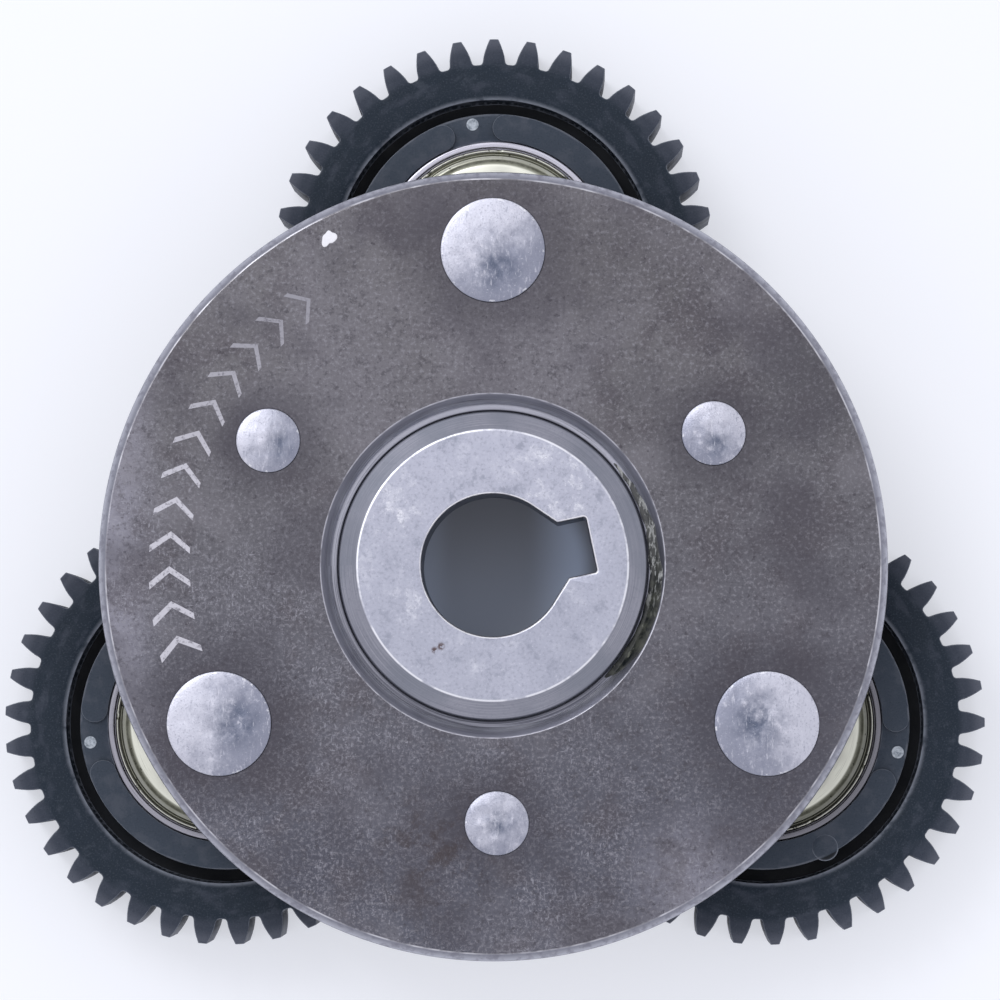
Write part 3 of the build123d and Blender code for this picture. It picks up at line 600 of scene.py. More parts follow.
def ring_finish(name, level, centre=(0.0, 0.0)):
    """Ground bearing ring, dimmed by level as painted shade."""
    f = Finish(name, centre)
    lines = f.rings(0.06, 25)
    pale = tone(214 * level, 213 * level, 226 * level)
    dark = tone(182 * level, 181 * level, 192 * level)
    f.base = f.mix(f.ease(lines, 0.35, 0.65), dark, pale)
    f.coat(f.ease(f.noise(0.3, 3, 0.6), 0.55, 0.75, 0.0, 0.4), dark)
    return f.done(f.ease(lines, 0.3, 0.7, 0.24, 0.34), height=lines, lift=0.006)


def shield_finish(name, level):
    """Zinc plated shield with painted reflection: cream web, olive where it dips, pale where it crests."""
    f = Finish(name)
    light = 0.5 + level / 2
    cream = tone(248 * light, 249 * light, 236 * light)
    pale = tone(212 * level, 213 * level, 205 * level)
    crest = tone(178 * level, 179 * level, 170 * level)
    olive = tone(162 * level, 163 * level, 148 * level)
    deep = tone(124 * level, 125 * level, 110 * level)
    patches = f.ease(f.noise(1.1, 3, 0.6), 0.35, 0.65)
    reflection_breaks = f.ease(f.noise(2.2, 4, 0.65, shift=6.0), 0.42, 0.58)
    # painted reflection: bands of cream, olive and pale that follow the pressed shape; level dims each copy
    # as painted shade
    f.base = f.mix(f.ease(f.radius, 10.36, 10.6), cream, olive)
    f.coat(f.times(f.band(f.radius, 10.86, 0.12, 0.14), patches), deep)
    f.coat(f.ease(f.radius, 11.02, 11.14), crest)
    f.coat(f.ease(f.radius, 11.42, 11.5), olive)
    f.coat(f.ease(f.radius, 11.7, 11.8), pale)
    # painted reflection: olive patches over the outer part
    f.coat(f.times(reflection_breaks, f.ease(f.radius, 10.9, 11.1), 0.5), olive)
    f.coat(f.times(f.ease(f.radius, 11.78, 11.86), 0.8), cream)
    specks = f.times(f.ease(f.noise(0.5, 2, 0.6, shift=2.0), 0.66, 0.72), f.ease(f.radius, 10.4, 10.6))
    f.coat(f.times(specks, 0.9), 40, 40, 36)
    f.coat(f.ease(f.rings(0.1, 20), 0.55, 0.75, 0.0, 0.4), olive)
    return f.done(0.3, height=f.noise(0.8, 3, 0.5), lift=0.012)


def plain_finish(name, first, second, size, rough, metal=1.0, stretch=(1, 1, 1), lift=0.01):
    """Two close tones in an uneven mix."""
    f = Finish(name)
    uneven = f.noise(size, 5, 0.6, stretch=stretch)
    fine = f.noise(size / 7, 3, 0.6, shift=2.0)
    f.base = f.mix(uneven, tone(*first), tone(*second))
    paler = (min(255, value + 24) for value in second)
    f.coat(f.ease(fine, 0.58, 0.76, 0.0, 0.35), *paler)
    return f.done(f.ease(uneven, 0.3, 0.7, rough, rough + 0.1), metal=metal, height=uneven, lift=lift)


PLATE = plate_finish()
REAR = back_finish()
CAM = cam_finish()
RACE = race_finish()
NYLON = nylon_finish()
PIN_DISH = [(0.5, -1.9), (2.1, 0.1), (-1.1, 0.2)]
# each look: brush stretch, then the direction of the head's painted light
PIN_LOOK = [(1.5, (-0.5, 0.85)), (1.1, (-0.95, 0.2)), (1.2, (0.9, 0.35))]
RIVET_DISH = [(0.2, -1.3), (1.3, -0.6), (0.1, 0.1)]
# each look: brush stretch, then the direction of the head's painted light
RIVET_LOOK = [(1.2, (0.5, 0.9)), (4.0, (-0.85, 0.5)), (1.2, (0.1, 0.5))]


def head_finishes(kind, head_r, looks, dishes, reach):
    """One finish for each head; looks are its brush stretch and the side it is painted bright towards, as
    painted light.
    """
    made = []
    for number, (brushed, bright), dish in zip(PLANETS, looks, dishes):
        made.append(head_finish(f"peened_{kind}_{number}", head_r, brushed, bright, dish, reach))
    return made


PIN_HEADS = head_finishes("pin", PIN_HEAD_R, PIN_LOOK, PIN_DISH, 3.0)
RIVET_HEADS = head_finishes("rivet", RIVET_HEAD_R, RIVET_LOOK, RIVET_DISH, 1.7)
# painted light: each planet's bearing ring and shield is a lit or shaded copy, dimmed by its level
RING_LIGHT_LEVELS = [1.02, 0.8, 0.6]
SHIELD_LIGHT_LEVELS = [0.96, 0.82, 0.68]
RINGS = [ring_finish(f"bearing_steel_{n}", RING_LIGHT_LEVELS[n - 1]) for n in PLANETS]
INNER_RINGS = [ring_finish(f"bearing_inner_{n}", 0.95, CENTRES[n]) for n in PLANETS]
SHIELDS = [shield_finish(f"shield_zinc_{n}", SHIELD_LIGHT_LEVELS[n - 1]) for n in PLANETS]
MARKS = mark_highlight_finish()
POLISHED = plain_finish("polished_steel", (168, 170, 180), (200, 201, 210), 1.2, 0.14, lift=0.003)
CAGE = plain_finish("cage_steel", (120, 118, 116), (156, 152, 148), 0.9, 0.32)
SPRING = plain_finish("spring_steel", (64, 64, 70), (96, 96, 104), 0.8, 0.3)
WASHER = plain_finish("washer_steel", (138, 138, 146), (172, 172, 180), 0.7, 0.34)

NODE_LOOK = {
    "cam_ring": (CAM, "dark_steel"),
    "roller_springs": (SPRING, "spring_steel"),
    "roller": (POLISHED, "polished_steel"),
    "bearing_balls": (POLISHED, "polished_steel"),
    "ball_cage": (CAGE, "cage_steel"),
    "spacer_washer": (WASHER, "washer_steel"),
    "pin_clip": (SPRING, "spring_steel"),
}


# ---------------------------------------------------------------- carrier plates


SHOULDER_SEAT_R = 18.1
SHOULDER_SEAT_DEPTH = 1.1


def plate_section():
    """Front plate's section, corners eased, rim rolled over."""
    points = [
        (SHOULDER_SEAT_R, PLATE_BOTTOM), (PLATE_R - 0.3, PLATE_BOTTOM),
        (PLATE_R, PLATE_BOTTOM + 0.3), (PLATE_R, PLATE_TOP - 0.8), (RIM_R, PLATE_TOP),
        (36.0, PLATE_TOP), (26.0, PLATE_TOP), (COUNTERSINK_R, PLATE_TOP),
        (LEDGE_R, PLATE_TOP - LEDGE_DEPTH), (HOLE_R, PLATE_TOP - LEDGE_DEPTH),
        (HOLE_R, PLATE_BOTTOM + SHOULDER_SEAT_DEPTH),
        (SHOULDER_SEAT_R, PLATE_BOTTOM + SHOULDER_SEAT_DEPTH),
    ]
    radii = [0.05, 0.12, 0.12, 0.4, 0.12, 0, 0, 0.07, 0.2, 0.06, 0.05, 0.05]
    return eased(points, radii)


def uneven_rim(rings):
    """Lets the rim's break wander a little, as a tumbled edge does."""
    for ring in rings:
        radius = np.hypot(ring[:, 0], ring[:, 1])
        angle = np.arctan2(ring[:, 1], ring[:, 0])
        on_rim = np.clip((radius - (RIM_R - 0.4)) / 0.3, 0, 1) * (ring[:, 2] > PLATE_TOP - 0.6)
        drift = 0.05 * waves(angle * 12, angle * 0, 5, 3) + 0.03 * waves(angle * 43, angle * 0, 5, 4)
        drift = np.clip(drift, -0.12, 0.06)
        ring[:, 0] += np.cos(angle) * drift * on_rim
        ring[:, 1] += np.sin(angle) * drift * on_rim
    return rings


PIN_R = 5.0
RIVET_R = 2.5
HEAD_SEAT = 0.3
plate_cuts, back_cuts = [], []
for number in PLANETS:
    pin, rivet = CENTRES[number], RIVETS[number]
    for spot, shank_r, head_r in ((pin, PIN_R, PIN_HEAD_R), (rivet, RIVET_R, RIVET_HEAD_R)):
        plate_cuts.append((shank_r, PLATE_BOTTOM - 1, PLATE_TOP + 1, spot.x, spot.y))
        plate_cuts.append((head_r + 0.05, PLATE_TOP - HEAD_SEAT, PLATE_TOP + 1, spot.x, spot.y))
        back_cuts.append((shank_r, BACK_LOW.z - 1, BACK_HIGH.z + 1, spot.x, spot.y))

solid(
    "front_plate_body",
    skin(uneven_rim(turned(plate_section(), 360))),
    PLATE,
    "carrier",
    ["front_plate"],
    cuts=plate_cuts,
)

BACK_BORE_R = 12.56
back_points = [
    (BACK_BORE_R, BACK_LOW.z), (PLATE_R - 0.3, BACK_LOW.z), (PLATE_R, BACK_LOW.z + 0.3),
    (PLATE_R, BACK_HIGH.z - 0.3), (PLATE_R - 0.3, BACK_HIGH.z), (BACK_BORE_R, BACK_HIGH.z),
]
solid(
    "back_plate_body",
    skin(turned(eased(back_points, 0.14), 360)),
    REAR,
    "carrier",
    ["back_plate"],
    cuts=back_cuts,
)


# ---------------------------------------------------------------- inner race

KEY_ANGLE = 12
KEY_HALF = 3.05
KEY_BOTTOM = 10.96
BORE_R = 7.75
FLARE = radians(44)


def bore_outline():
    """Bore with its flared keyway, as points in turning order from the key's middle."""
    mouth = (BORE_R - KEY_HALF * sin(FLARE)) / cos(FLARE)
    corners = [
        (KEY_BOTTOM, 0), (KEY_BOTTOM, KEY_HALF), (mouth, KEY_HALF),
        (BORE_R * cos(FLARE), BORE_R * sin(FLARE)),
    ]
    half = eased(corners, [0, 0.3, 0.16, 0.2], steps=5, closed=False)
    dense = []
    for first, second in zip(half, half[1:]):
        gap = np.hypot(second[0] - first[0], second[1] - first[1])
        count = max(1, int(gap / 0.25))
        dense += [tuple(np.array(first) + (np.array(second) - first) * k / count) for k in range(count)]
    arc = [(BORE_R * cos(a), BORE_R * sin(a)) for a in np.radians(np.arange(44, 180, 1.5))]
    upper = dense + arc
    lower = [(x, -y) for x, y in reversed(upper[1:])]
    return np.array(upper + [(-BORE_R, 0.0)] + lower)


def offset_outline(outline, distance):
    """The outline moved outward along its own normals."""
    tangent = np.roll(outline, -1, 0) - np.roll(outline, 1, 0)
    tangent /= np.linalg.norm(tangent, axis=1)[:, None]
    return outline + np.stack([tangent[:, 1], -tangent[:, 0]], 1) * distance


def race_shape():
    outline = bore_outline()
    angles = np.arctan2(outline[:, 1], outline[:, 0])

    def keyed(distance, height):
        """Ring that follows the bore's outline, distance outside it."""
        points = offset_outline(outline, distance) if distance else outline
        return level(spun(points, radians(KEY_ANGLE)), height)

    shoulder = 7.6
    outer = [
        (12.2, 0.0), (12.5, 0.3), (12.5, shoulder), (17.7, shoulder), (17.7, shoulder + 0.9),
        (16.77, shoulder + 0.9), (16.77, RACE_TOP - 1.2), (RACE_FACE_R, RACE_TOP), (13.2, RACE_TOP),
        (12.4, RACE_TOP),
    ]
    section = eased(outer, [0.1, 0.12, 0, 0.1, 0.1, 0, 0.1, 0.15, 0, 0], closed=False)
    rings = [keyed(distance, height) for distance, height in ((0, 0.2), (0.06, 0.06), (0.2, 0.0))]
    for radius, height in section:
        rings.append(level(spun(circle(radius, angles), radians(KEY_ANGLE)), height))
    for distance, drop in ((0.27, 0.0), (0.2, 0.02), (0.06, 0.12), (0, 0.3)):
        rings.append(keyed(distance, RACE_TOP - drop))
    return skin(rings)


solid("inner_race_body", race_shape(), RACE, "clutch_race", ["inner_race"])


# ---------------------------------------------------------------- pins and rivets


def dome(radius, edge, top, steps=14):
    """Section points of a low crown from the axis out to a rounded edge."""
    points = []
    for step in range(steps):
        share = step / steps
        points.append((radius * share, top - (top - edge) * share**2.4))
    corner = 0.14
    for step in range(4):
        turn = radians(90 * step / 3)
        points.append((radius - corner + corner * sin(turn), edge - corner * (1 - cos(turn))))
    return points


def struck(rings, radius, top, amount, seed, dish):
    """Hammer marks on a crown: flats, dents and one shallow dish."""
    for ring in rings:
        away = np.hypot(ring[:, 0], ring[:, 1])
        share = np.clip(1 - (away / radius) ** 4, 0, 1)
        on_top = share * (ring[:, 2] > top - 0.5)
        lumps = waves(ring[:, 0], ring[:, 1], radius * 0.55, seed) * 0.5
        lumps += waves(ring[:, 0], ring[:, 1], radius * 0.22, seed + 1) * 0.22
        hollow = np.exp(-((ring[:, 0] - dish[0]) ** 2 + (ring[:, 1] - dish[1]) ** 2) / (radius * 0.45) ** 2)
        ring[:, 2] += on_top * np.clip(amount * lumps - 1.3 * amount * hollow, -0.2, 0.0)
    return rings


def fastener(name, section, radius, top, material, seed, dish, origin, node):
    rings = struck(turned(section, 96), radius, top, 0.06, seed, dish)
    solid(name, skin(rings, closed=False), material, "carrier", [node], origin, sharp=50)


for number in PLANETS:
    low, high = (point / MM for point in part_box(f"planet_pin_{number}"))
    shank = eased(
        [
            (PIN_HEAD_R, PLATE_TOP + 0.1), (PIN_HEAD_R, PLATE_TOP - HEAD_SEAT),
            (4.98, PLATE_TOP - HEAD_SEAT), (4.98, 7.48), (5.98, 7.48), (5.98, 2.02), (4.98, 2.02),
            (4.98, -8.83), (4.7, -8.83), (4.7, -9.88), (4.98, -9.88), (4.98, low.z + 0.6),
            (4.38, low.z),
        ],
        [0, 0.03, 0, 0, 0.1, 0.1, 0, 0.04, 0.03, 0.03, 0.04, 0.12, 0.12],
        steps=3,
        closed=False,
    )
    drilled = [(4.38, low.z), (1.3, low.z), (0.0, low.z + 1.2)]
    centre_hole = eased(drilled, [0, 0.06, 0], steps=3, closed=False)
    section = dome(PIN_HEAD_R, PLATE_TOP + 0.24, high.z) + shank[1:-1] + centre_hole
    spot = (CENTRES[number].x, CENTRES[number].y, 0)
    fastener(
        f"planet_pin_{number}_body", section, PIN_HEAD_R, high.z, PIN_HEADS[number - 1], 20 + number,
        PIN_DISH[number - 1], spot, f"planet_pin_{number}",
    )
    low, high = (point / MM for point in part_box(f"body_rivet_{number}"))
    front = dome(RIVET_HEAD_R, PLATE_TOP + 0.2, high.z, 10)
    rear = [(radius, PLATE_TOP - height) for radius, height in reversed(front)]
    seat_z = PLATE_TOP - HEAD_SEAT
    middle = [(RIVET_HEAD_R, seat_z), (2.48, seat_z), (2.48, 0.0), (RIVET_HEAD_R, 0.0)]
    spot = (RIVETS[number].x, RIVETS[number].y, 0)
    fastener(
        f"body_rivet_{number}_body", front + middle + rear, RIVET_HEAD_R, high.z, RIVET_HEADS[number - 1],
        40 + number, RIVET_DISH[number - 1], spot, f"body_rivet_{number}",
    )


# ---------------------------------------------------------------- planet gears

TEETH = 37
MODULE = 1.25
TIP_R = MODULE * (TEETH / 2 + 1)
ROOT_R = MODULE * (TEETH / 2 - 1.25)
BASE_R = MODULE * TEETH / 2 * cos(radians(20))
TIP_ANGLES = [90.1, 205.8, -28.8]
MARK_ANGLES = [99.3, 187.8, -12.0]
LOBE_ANGLES = [-72.5, 136.0, -63.8]
PAD_GAP = 17.0
MARK_CIRCLE_R = 15.1
MARK_DISH_R = 0.62
MARK_LIP = 0.07
HUB_DEPTH = 0.5
LOBE_CIRCLE_R = 15.2


def flank(radius):
    """Half the angle of a tooth at a radius."""
    pressure = acos(min(1.0, BASE_R / radius))
    return pi / (2 * TEETH) + (tan(radians(20)) - radians(20)) - (tan(pressure) - pressure)


def tooth_points():
    """Angle from the tooth's middle and radius, from the root's middle up to the tip."""
    root, tip = 0.35, 0.14
    points = [(pi / TEETH, ROOT_R)]
    for step in range(4):
        turn = radians(90 * step / 3)
        radius = ROOT_R + root * (1 - cos(turn))
        points.append((flank(radius) + root * (1 - sin(turn)) / radius, radius))
    low, high = ROOT_R + root, TIP_R - tip
    for step in range(1, 5):
        radius = low + (high - low) * step / 4
        points.append((flank(radius), radius))
    for step in range(1, 4):
        turn = radians(90 * step / 3)
        radius = high + tip * sin(turn)
        points.append((flank(high) - tip * (1 - cos(turn)) / radius, radius))
    return points


def gear_outline(turn):
    """Star outline of the gear as points in turning order."""
    half = tooth_points()
    whole = [(-angle, radius) for angle, radius in half[1:]] + [(0.0, TIP_R)] + half[::-1]
    points = []
    for tooth in range(TEETH):
        centre = radians(turn) + 2 * pi * tooth / TEETH
        points += [(radius * cos(centre + angle), radius * sin(centre + angle)) for angle, radius in whole]
    return np.array(points)


def gear_shape(index):
    """Closed body of one gear about its own axis, front and rear faces alike."""
    outline = gear_outline(TIP_ANGLES[index])
    angles = np.arctan2(outline[:, 1], outline[:, 0])

    def round_ring(radius, depth):
        return level(circle(radius, angles), depth)

    face = [
        (21.0, 0.0), (19.6, 0.0), (18.4, -0.01), (17.75, -0.13), (17.62, -0.22), (17.6, -0.4),
        (17.6, -3.75), (17.45, -3.96), (17.2, -4.0), (16.5, -4.0), (16.2, -3.93), (16.1, -3.75),
        (16.1, -0.62), (16.07, -0.53), (15.97, -0.5), (14.6, -0.5), (13.15, -0.5), (13.03, -0.56),
    ]
    front = [level(outline, -0.14)]
    front += [level(offset_outline(outline, inset), depth) for inset, depth in ((-0.04, -0.04), (-0.14, 0.0))]
    front += [round_ring(*corner) for corner in face]
    rear = [ring * (1, 1, -1) - (0, 0, GEAR_WIDTH) for ring in reversed(front[:-1])]
    seat = [
        (13.01, -0.7), (13.01, -8.0), (11.9, -8.02), (11.9, -9.22), (13.2, -9.22),
        (13.2, 0.6 - GEAR_WIDTH),
    ]
    middle = [round_ring(*corner) for corner in eased(seat, [0, 0.05, 0.08, 0.1, 0.1, 0], 3, closed=False)]
    return skin(front + middle + rear[1:])


ARC_STEPS = 40
CAP_STEPS = 12


def pad_shape(start, sweep, depth, outward):
    """Raised kidney pad with round ends and eased top edge."""
    inner, outer = 13.08, 16.04
    middle, half = (inner + outer) / 2, (outer - inner) / 2
    turns = np.radians(180 * np.arange(1, CAP_STEPS) / CAP_STEPS)
    cap = np.stack([half * np.cos(turns), half * np.sin(turns)], 1)

    def arc(radius, first, last):
        return circle(radius, np.radians(start + sweep * np.linspace(first, last, ARC_STEPS)))

    far_end = spun((middle, 0) + cap, radians(start + sweep))
    near_end = spun((middle, 0) - cap, radians(start))
    outline = np.concatenate([arc(outer, 0, 1), far_end, arc(inner, 1, 0), near_end])
    rings = [level(outline, depth - outward * 0.56), level(outline, depth - outward * 0.1)]
    rings += [level(offset_outline(outline, -0.03), depth - outward * 0.03)]
    rings += [level(offset_outline(outline, -0.1), depth)]
    verts, faces = skin(rings, closed=False)
    count = len(outline)
    last = count - CAP_STEPS
    top = [[step, step + 1, last - 1 - step, last - step] for step in range(ARC_STEPS - 1)]
    top.append(list(range(ARC_STEPS - 1, ARC_STEPS + CAP_STEPS)))
    top.append([*range(last, count), 0])
    return verts, faces.tolist() + [[3 * count + corner for corner in face] for face in top]


def dish_shape(centre, radius, level_at, outward, depth):
    """Ejector mark: a shallow round dish inside a low lip, on the hub's floor."""
    profile = [(0.0, 0.18), (0.35, 0.2), (0.65, 0.45), (0.85, 0.93)]
    profile += [(1.0, 1.0), (1.1, 0.8), (1.17, -0.4), (0.0, -0.4)]
    section = [(radius * share, level_at + outward * depth * lift) for share, lift in profile]
    if outward < 0:
        section.reverse()
    verts, faces = skin(turned(section, 40), closed=False)
    return verts + (centre[0], centre[1], 0), faces


def lobe_shape(angle):
    """Round boss on the hub's wall, its top just above the gear's face."""
    section = [(1.5, -3.9), (1.5, -0.12), (1.46, -0.02), (1.38, 0.03), (0.8, 0.03), (0.0, 0.03)]
    verts, faces = skin(turned(section, 40), closed=False)
    turn = radians(angle)
    return verts + (LOBE_CIRCLE_R * cos(turn), LOBE_CIRCLE_R * sin(turn), 0), faces


for number in PLANETS:
    index = number - 1
    shapes, marks = [gear_shape(index)], []
    end_angle = degrees(1.48 / 14.56)
    for depth, outward in ((0.0, 1), (-GEAR_WIDTH, -1)):
        for pad in range(3):
            start = MARK_ANGLES[index] + PAD_GAP / 2 + end_angle + 120 * pad
            shapes.append(pad_shape(start, 120 - PAD_GAP - 2 * end_angle, depth, outward))
            spot = radians(MARK_ANGLES[index] + 120 * pad)
            centre = (MARK_CIRCLE_R * cos(spot), MARK_CIRCLE_R * sin(spot))
            marks.append(dish_shape(centre, MARK_DISH_R, depth - outward * HUB_DEPTH, outward, MARK_LIP))
    shapes.append(lobe_shape(LOBE_ANGLES[index]))
    spot = (CENTRES[number].x, CENTRES[number].y, GEAR_TOP)
    solid(
        f"planet_gear_{number}_body", merged(*shapes), NYLON, f"planet_{number}",
        [f"planet_gear_{number}"], spot, sharp=42,
    )
    solid(f"ejector_marks_{number}", merged(*marks), MARKS, f"planet_{number}", (), spot)


# ---------------------------------------------------------------- bearings

BEARING_WIDTH = 8.0
HALF = BEARING_WIDTH / 2


def raceway(land, circle_r, race_r, inner):
    """Arc of a raceway from its upper lip to its lower one."""
    reach = (land - circle_r) if not inner else (circle_r - land)
    half_angle = acos(reach / race_r)
    side = -1 if inner else 1
    points = []
    for step in range(13):
        turn = half_angle - 2 * half_angle * step / 12
        points.append((circle_r + side * race_r * cos(turn), -HALF + race_r * sin(turn)))
    return points


def outer_ring_section():
    arc = raceway(11.0, 9.0, 2.45, False)
    outside = [
        (12.33, -6.7), (12.33, -8.0), (12.86, -8.0), (13.0, -7.8), (13.0, -0.2), (12.86, 0.0),
        (12.33, 0.0), (12.33, -1.3),
    ]
    radii = [0, 0.03, 0.06, 0.1, 0.1, 0.1, 0.1, 0.06, 0.03, 0]
    rest = eased([(11.0, -6.7)] + outside + [(11.0, -1.3)], radii, 3, closed=False)
    return arc + rest


SHIELD_POINTS = [
    (7.55, -0.30), (10.50, -0.30), (11.08, -0.72), (11.44, -0.70), (11.56, -1.00), (11.72, -0.98),
    (11.82, -0.60), (12.08, -0.56), (12.20, -0.80), (12.15, -1.25), (11.10, -1.25), (10.60, -0.60),
    (7.55, -0.60),
]
SHIELD_RADII = [0.08, 0.3, 0.2, 0.1, 0.05, 0.05, 0.12, 0.12, 0.1, 0.05, 0.1, 0.1, 0.08]


def shield_shape(index, front):
    """Pressed shield with nine crimps in its curled edge."""
    rings = turned(eased(SHIELD_POINTS, SHIELD_RADII, 3), 324)
    for ring in rings:
        radius = np.hypot(ring[:, 0], ring[:, 1])
        angle = np.arctan2(ring[:, 1], ring[:, 0]) - radians(MARK_ANGLES[index] - 11.5)
        away = np.abs((angle / (2 * pi / 9) + 0.5) % 1 - 0.5) * (2 * pi / 9) * radius
        notch = np.clip(1.3 - away / 0.22, 0, 1) * (radius > 11.6) * (ring[:, 2] > -0.95)
        ring[:, 2] -= 0.35 * notch
        ring[:, 2] += 0.02 * waves(ring[:, 0], ring[:, 1], 4.0, 60 + index) * (radius < 10.3)
    if not front:
        rings = [ring * (1, 1, -1) - (0, 0, BEARING_WIDTH) for ring in rings]
    return skin(rings)


for number in PLANETS:
    index = number - 1
    spot = (CENTRES[number].x, CENTRES[number].y, GEAR_TOP)
    body = f"planet_{number}"
    solid(
        f"bearing_outer_ring_{number}_body", skin(turned(outer_ring_section(), 240)), RINGS[index], body,
        [f"bearing_outer_ring_{number}"], spot,
    )
    for front, side in ((True, "front"), (False, "rear")):
        solid(
            f"{side}_shield_{number}_body", shield_shape(index, front), SHIELDS[index], body,
            [f"{side}_shield_{number}"], spot,
        )


# ---------------------------------------------------------------- CAD nodes that stay

for name, node in frame["nodes"].items():
    family = name.rstrip("0123456789").rstrip("_")
    if family == "bearing_inner_ring":
        finish, slot = INNER_RINGS[int(name[-1]) - 1], "bearing_steel"
    elif family in NODE_LOOK:
        finish, slot = NODE_LOOK[family]
    else:
        continue
    node.data.materials.clear()
    node.data.materials.append(finish)


# ---------------------------------------------------------------- grease, direction marks, paint


def grease_shape():
    """Wedge of grease in the countersink, blunt below and drawn out above."""
    rings = []
    spans = 150
    for step in range(spans + 1):
        share = step / spans
        degrees_at = -46 + 88 * share
        head = min(1.0, share / 0.16) ** 0.6
        tail = min(1.0, (1 - share) / 0.62)
        wide = head * (0.12 + 0.88 * tail**0.75)
        drift = 0.08 * float(waves(degrees_at, 0.0, 9.0, 5))
        inner = 17.02 + drift
        outer = inner + 0.1 + (1.5 + 0.08 * float(waves(degrees_at, 3.0, 7.0, 6))) * wide
        points = []
        for across in range(13):
            u = across / 12
            radius = inner + (outer - inner) * u
            under = PLATE_TOP - LEDGE_DEPTH + max(0.0, radius - LEDGE_R)
            crown = 0.2 * (1 - (2 * u - 1) ** 4) * wide
            lumps = 0.03 * float(waves(radius * 2.2, degrees_at * 0.3, 1.8, 7)) * (1 - (2 * u - 1) ** 4)
            height = min(PLATE_TOP - 0.03, under - 0.04 + max(0.02, crown + lumps * wide))
            a = radians(degrees_at)
            points.append((radius * cos(a), radius * sin(a), height))
        under_points = []
        for x, y, _ in reversed(points):
            radius = np.hypot(x, y)
            under_points.append((x, y, PLATE_TOP - LEDGE_DEPTH - 0.04 + max(0.0, radius - LEDGE_R)))
        rings.append(np.array(points + under_points))
    verts, faces = skin(rings, closed=False)
    count = len(rings[0])
    caps = [list(range(count))[::-1], list(range(spans * count, (spans + 1) * count))]
    return verts, faces.tolist() + caps


def grease_finish():
    """Dark used grease, paler and streaked pale towards its upper end, streaked olive throughout."""
    f = Finish("old_grease")
    lumps = f.noise(1.6, 5, 0.6)
    streak_noise = f.noise(0.5, 4, 0.65, stretch=(1, 3, 1), turn=-5, shift=4.0)
    f.base = f.mix(f.ease(lumps, 0.38, 0.66), tone(22, 26, 28), tone(68, 70, 64))
    f.coat(f.ease(f.angle, -0.25, 0.3, 0.0, 0.8), 84, 85, 86)
    light = f.times(f.ease(streak_noise, 0.5, 0.6), f.ease(f.angle, -0.35, -0.05))
    f.coat(f.times(light, 0.85), 176, 178, 178)
    f.coat(f.times(f.ease(streak_noise, 0.6, 0.7), 0.7), 120, 122, 112)
    rough = f.ease(lumps, 0.3, 0.7, 0.3, 0.5)
    return f.done(rough, metal=0.0, height=lumps, lift=0.06, specular=0.35)


solid("grease_smear", grease_shape(), grease_finish(), "carrier", sharp=60)


def flat_mark(corners, height, thickness):
    """Thin flat prism from (radius, angle in degrees) corners."""
    flat = [(radius * cos(radians(a)), radius * sin(radians(a))) for radius, a in corners]
    count = len(flat)
    verts = [(x, y, height) for x, y in flat] + [(x, y, height - thickness) for x, y in flat]
    sides = [[k, k + count, (k + 1) % count + count, (k + 1) % count] for k in range(count)]
    return np.array(verts, float), sides, list(range(count)), list(range(count, 2 * count))[::-1]


def chevron(tip, half, stroke, height, thickness):
    """One V that points the way the carrier turns, as two slanted bars."""
    lean = 2.7
    bars = []
    for side in (1, -1):
        far = MARK_R + side * half
        corners = [(MARK_R, tip), (far, tip + lean), (far, tip + lean + stroke), (MARK_R, tip + stroke)]
        verts, sides, top, bottom = flat_mark(corners, height, thickness)
        bars.append((verts, sides + [top, bottom]))
    return merged(*bars)


def mark_finish():
    f = Finish("etched_mark")
    wear = f.noise(0.5, 4, 0.65)
    fade = f.ease(f.y, 5, 30)
    strong = f.mix(fade, tone(196, 195, 204), tone(150, 149, 158))
    f.base = f.mix(f.ease(wear, 0.5, 0.68, 0.0, 0.8), strong, tone(116, 114, 123))
    return f.done(0.5, height=wear, lift=0.01)


MARK_Z = PLATE_TOP + 0.012
MARK_R = 35.2
bars = []
for step in range(12):
    tip = 192.5 - 6.2 * step
    bars.append(chevron(tip, 2.3 - 0.03 * step, 1.25 - 0.035 * step, MARK_Z, 0.03))
solid("turn_marks", merged(*bars), mark_finish(), "carrier", sharp=60)


def paint_shape(angle, radius):
    """Small dab of paint with an uneven outline."""
    centre = np.array([radius * cos(radians(angle)), radius * sin(radians(angle))])
    turns = np.arange(48) * 2 * pi / 48
    lobes = 0.22 * np.sin(2 * turns + 0.6) + 0.14 * np.sin(3 * turns + 2) + 0.08 * np.sin(5 * turns)
    reach = 0.72 * (1 + lobes)
    rings = []
    for share, lift in ((1.0, -0.02), (0.98, 0.02), (0.9, 0.05), (0.7, 0.07), (0.35, 0.06), (0.0, 0.06)):
        x = centre[0] + reach * share * np.cos(turns)
        y = centre[1] + reach * share * np.sin(turns) * 1.2
        rings.append(np.stack([x, y, np.full(48, PLATE_TOP + lift)], 1))
    return skin(rings, closed=False)


paint = plain_finish("white_paint", (226, 226, 234), (240, 240, 246), 0.5, 0.5, metal=0.0, lift=0.03)
solid("paint_dab", paint_shape(116.6, 39.9), paint, "carrier", sharp=60)


# ---------------------------------------------------------------- stage, light, camera


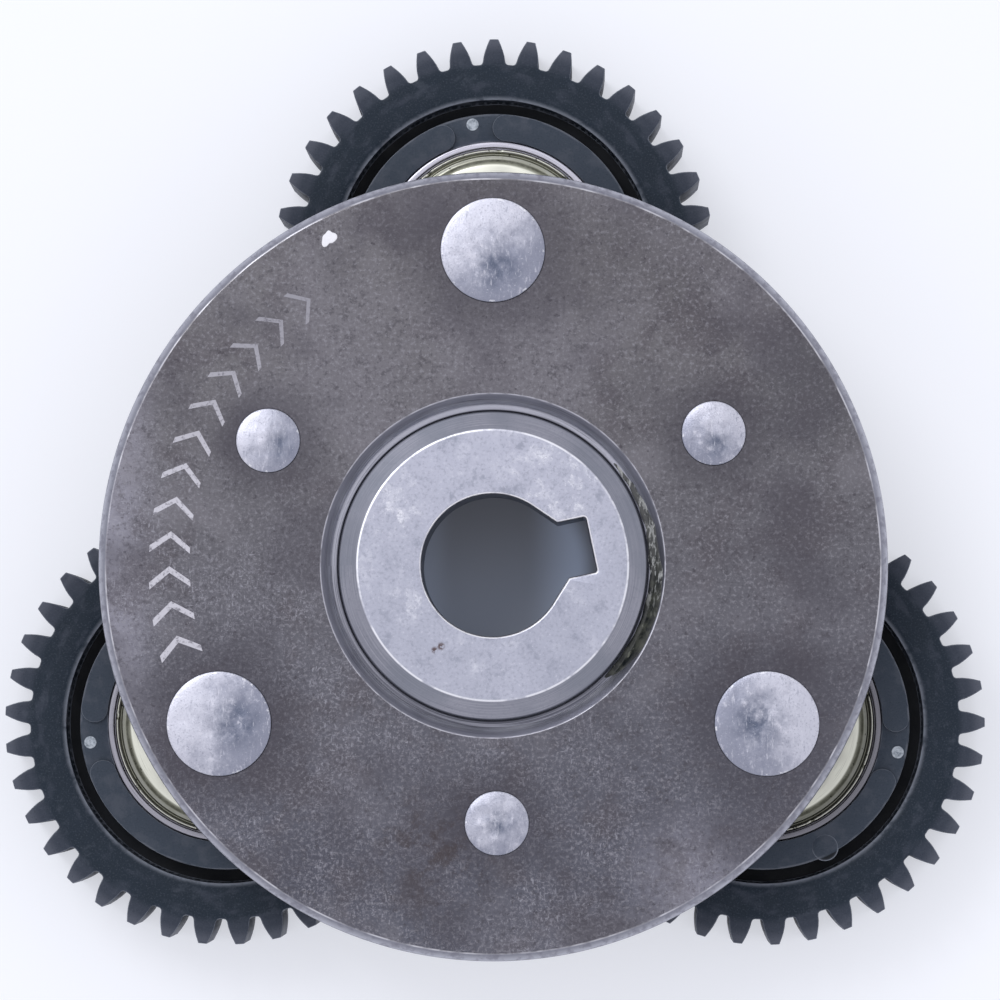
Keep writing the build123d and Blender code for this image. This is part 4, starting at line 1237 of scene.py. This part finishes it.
def floor_finish():
    """Pale floor with painted light: its own faint glow keeps it near white, except under the hub, left dark
    as painted shade.
    """
    f = Finish("pale_floor")
    f.base = f.mix(f.noise(60, 3, 0.5), tone(176, 178, 184), tone(180, 182, 188))
    # painted shade under the hub, with a bluish tint; painted light glow further out
    under = f.ease(f.radius, 14, 32)
    colour = f.mix(under, tone(196, 216, 255), tone(246, 248, 255))
    # painted light: a faint glow seen through the bore, strongest towards +x and towards -y
    side = f.math("ADD", f.times(f.ease(f.x, 3.0, 9.5), 0.13), f.times(f.ease(f.x, -4.5, -8.0), 0.04))
    side = f.math("ADD", side, f.ease(f.y, 8, -6, 0.015, 0.07))
    glow = f.math("ADD", f.ease(f.radius, 14, 32, 0.0, 0.53), f.times(side, f.ease(f.radius, 12, 9)))
    return f.done(0.8, metal=0.0, specular=0.1, glow=(colour, glow))


FLOOR_DROP = 0.00004
floor_mesh = bpy.data.meshes.new("floor")
reach = 1.6
floor_mesh.from_pydata(
    [(-reach, -reach, 0), (reach, -reach, 0), (reach, reach, 0), (-reach, reach, 0)], [], [(0, 1, 2, 3)]
)
floor_mesh.materials.append(floor_finish())
floor = bpy.data.objects.new("floor", floor_mesh)
floor.location = (0, 0, FLOOR_Z - FLOOR_DROP)
scene.collection.objects.link(floor)


def area_light(name, place, target, size, power):
    data = bpy.data.lights.new(name, "AREA")
    data.shape = "DISK"
    data.size = size
    data.energy = power
    lamp = bpy.data.objects.new(name, data)
    lamp.location = place
    lamp.rotation_euler = (Vector(target) - Vector(place)).to_track_quat("-Z", "Y").to_euler()
    scene.collection.objects.link(lamp)


area_light("key", (-0.45, 0.5, 0.9), (0, 0, 0), 0.5, 3.0)

world = bpy.data.worlds.new("studio")
scene.world = world
world.use_nodes = True
tree = world.node_tree
background = tree.nodes["Background"]
background.inputs["Color"].default_value = tone(250, 250, 255)
background.inputs["Strength"].default_value = 0.92

eye = Vector((10.6, -18.1, 661.0)) * MM
aim = Vector((0.8, 7.1, 11.0)) * MM
back = (eye - aim).normalized()
right = Vector((0, 1, 0)).cross(back).normalized()
upward = back.cross(right)
camera_data = bpy.data.cameras.new("camera")
camera_data.sensor_width = 36
camera_data.lens = 215.5
camera_data.clip_start = 0.01
camera_data.clip_end = 10
camera = bpy.data.objects.new("camera", camera_data)
camera.matrix_world = Matrix(
    (
        (right.x, upward.x, back.x, eye.x), (right.y, upward.y, back.y, eye.y),
        (right.z, upward.z, back.z, eye.z), (0, 0, 0, 1),
    )
)
scene.collection.objects.link(camera)
scene.camera = camera
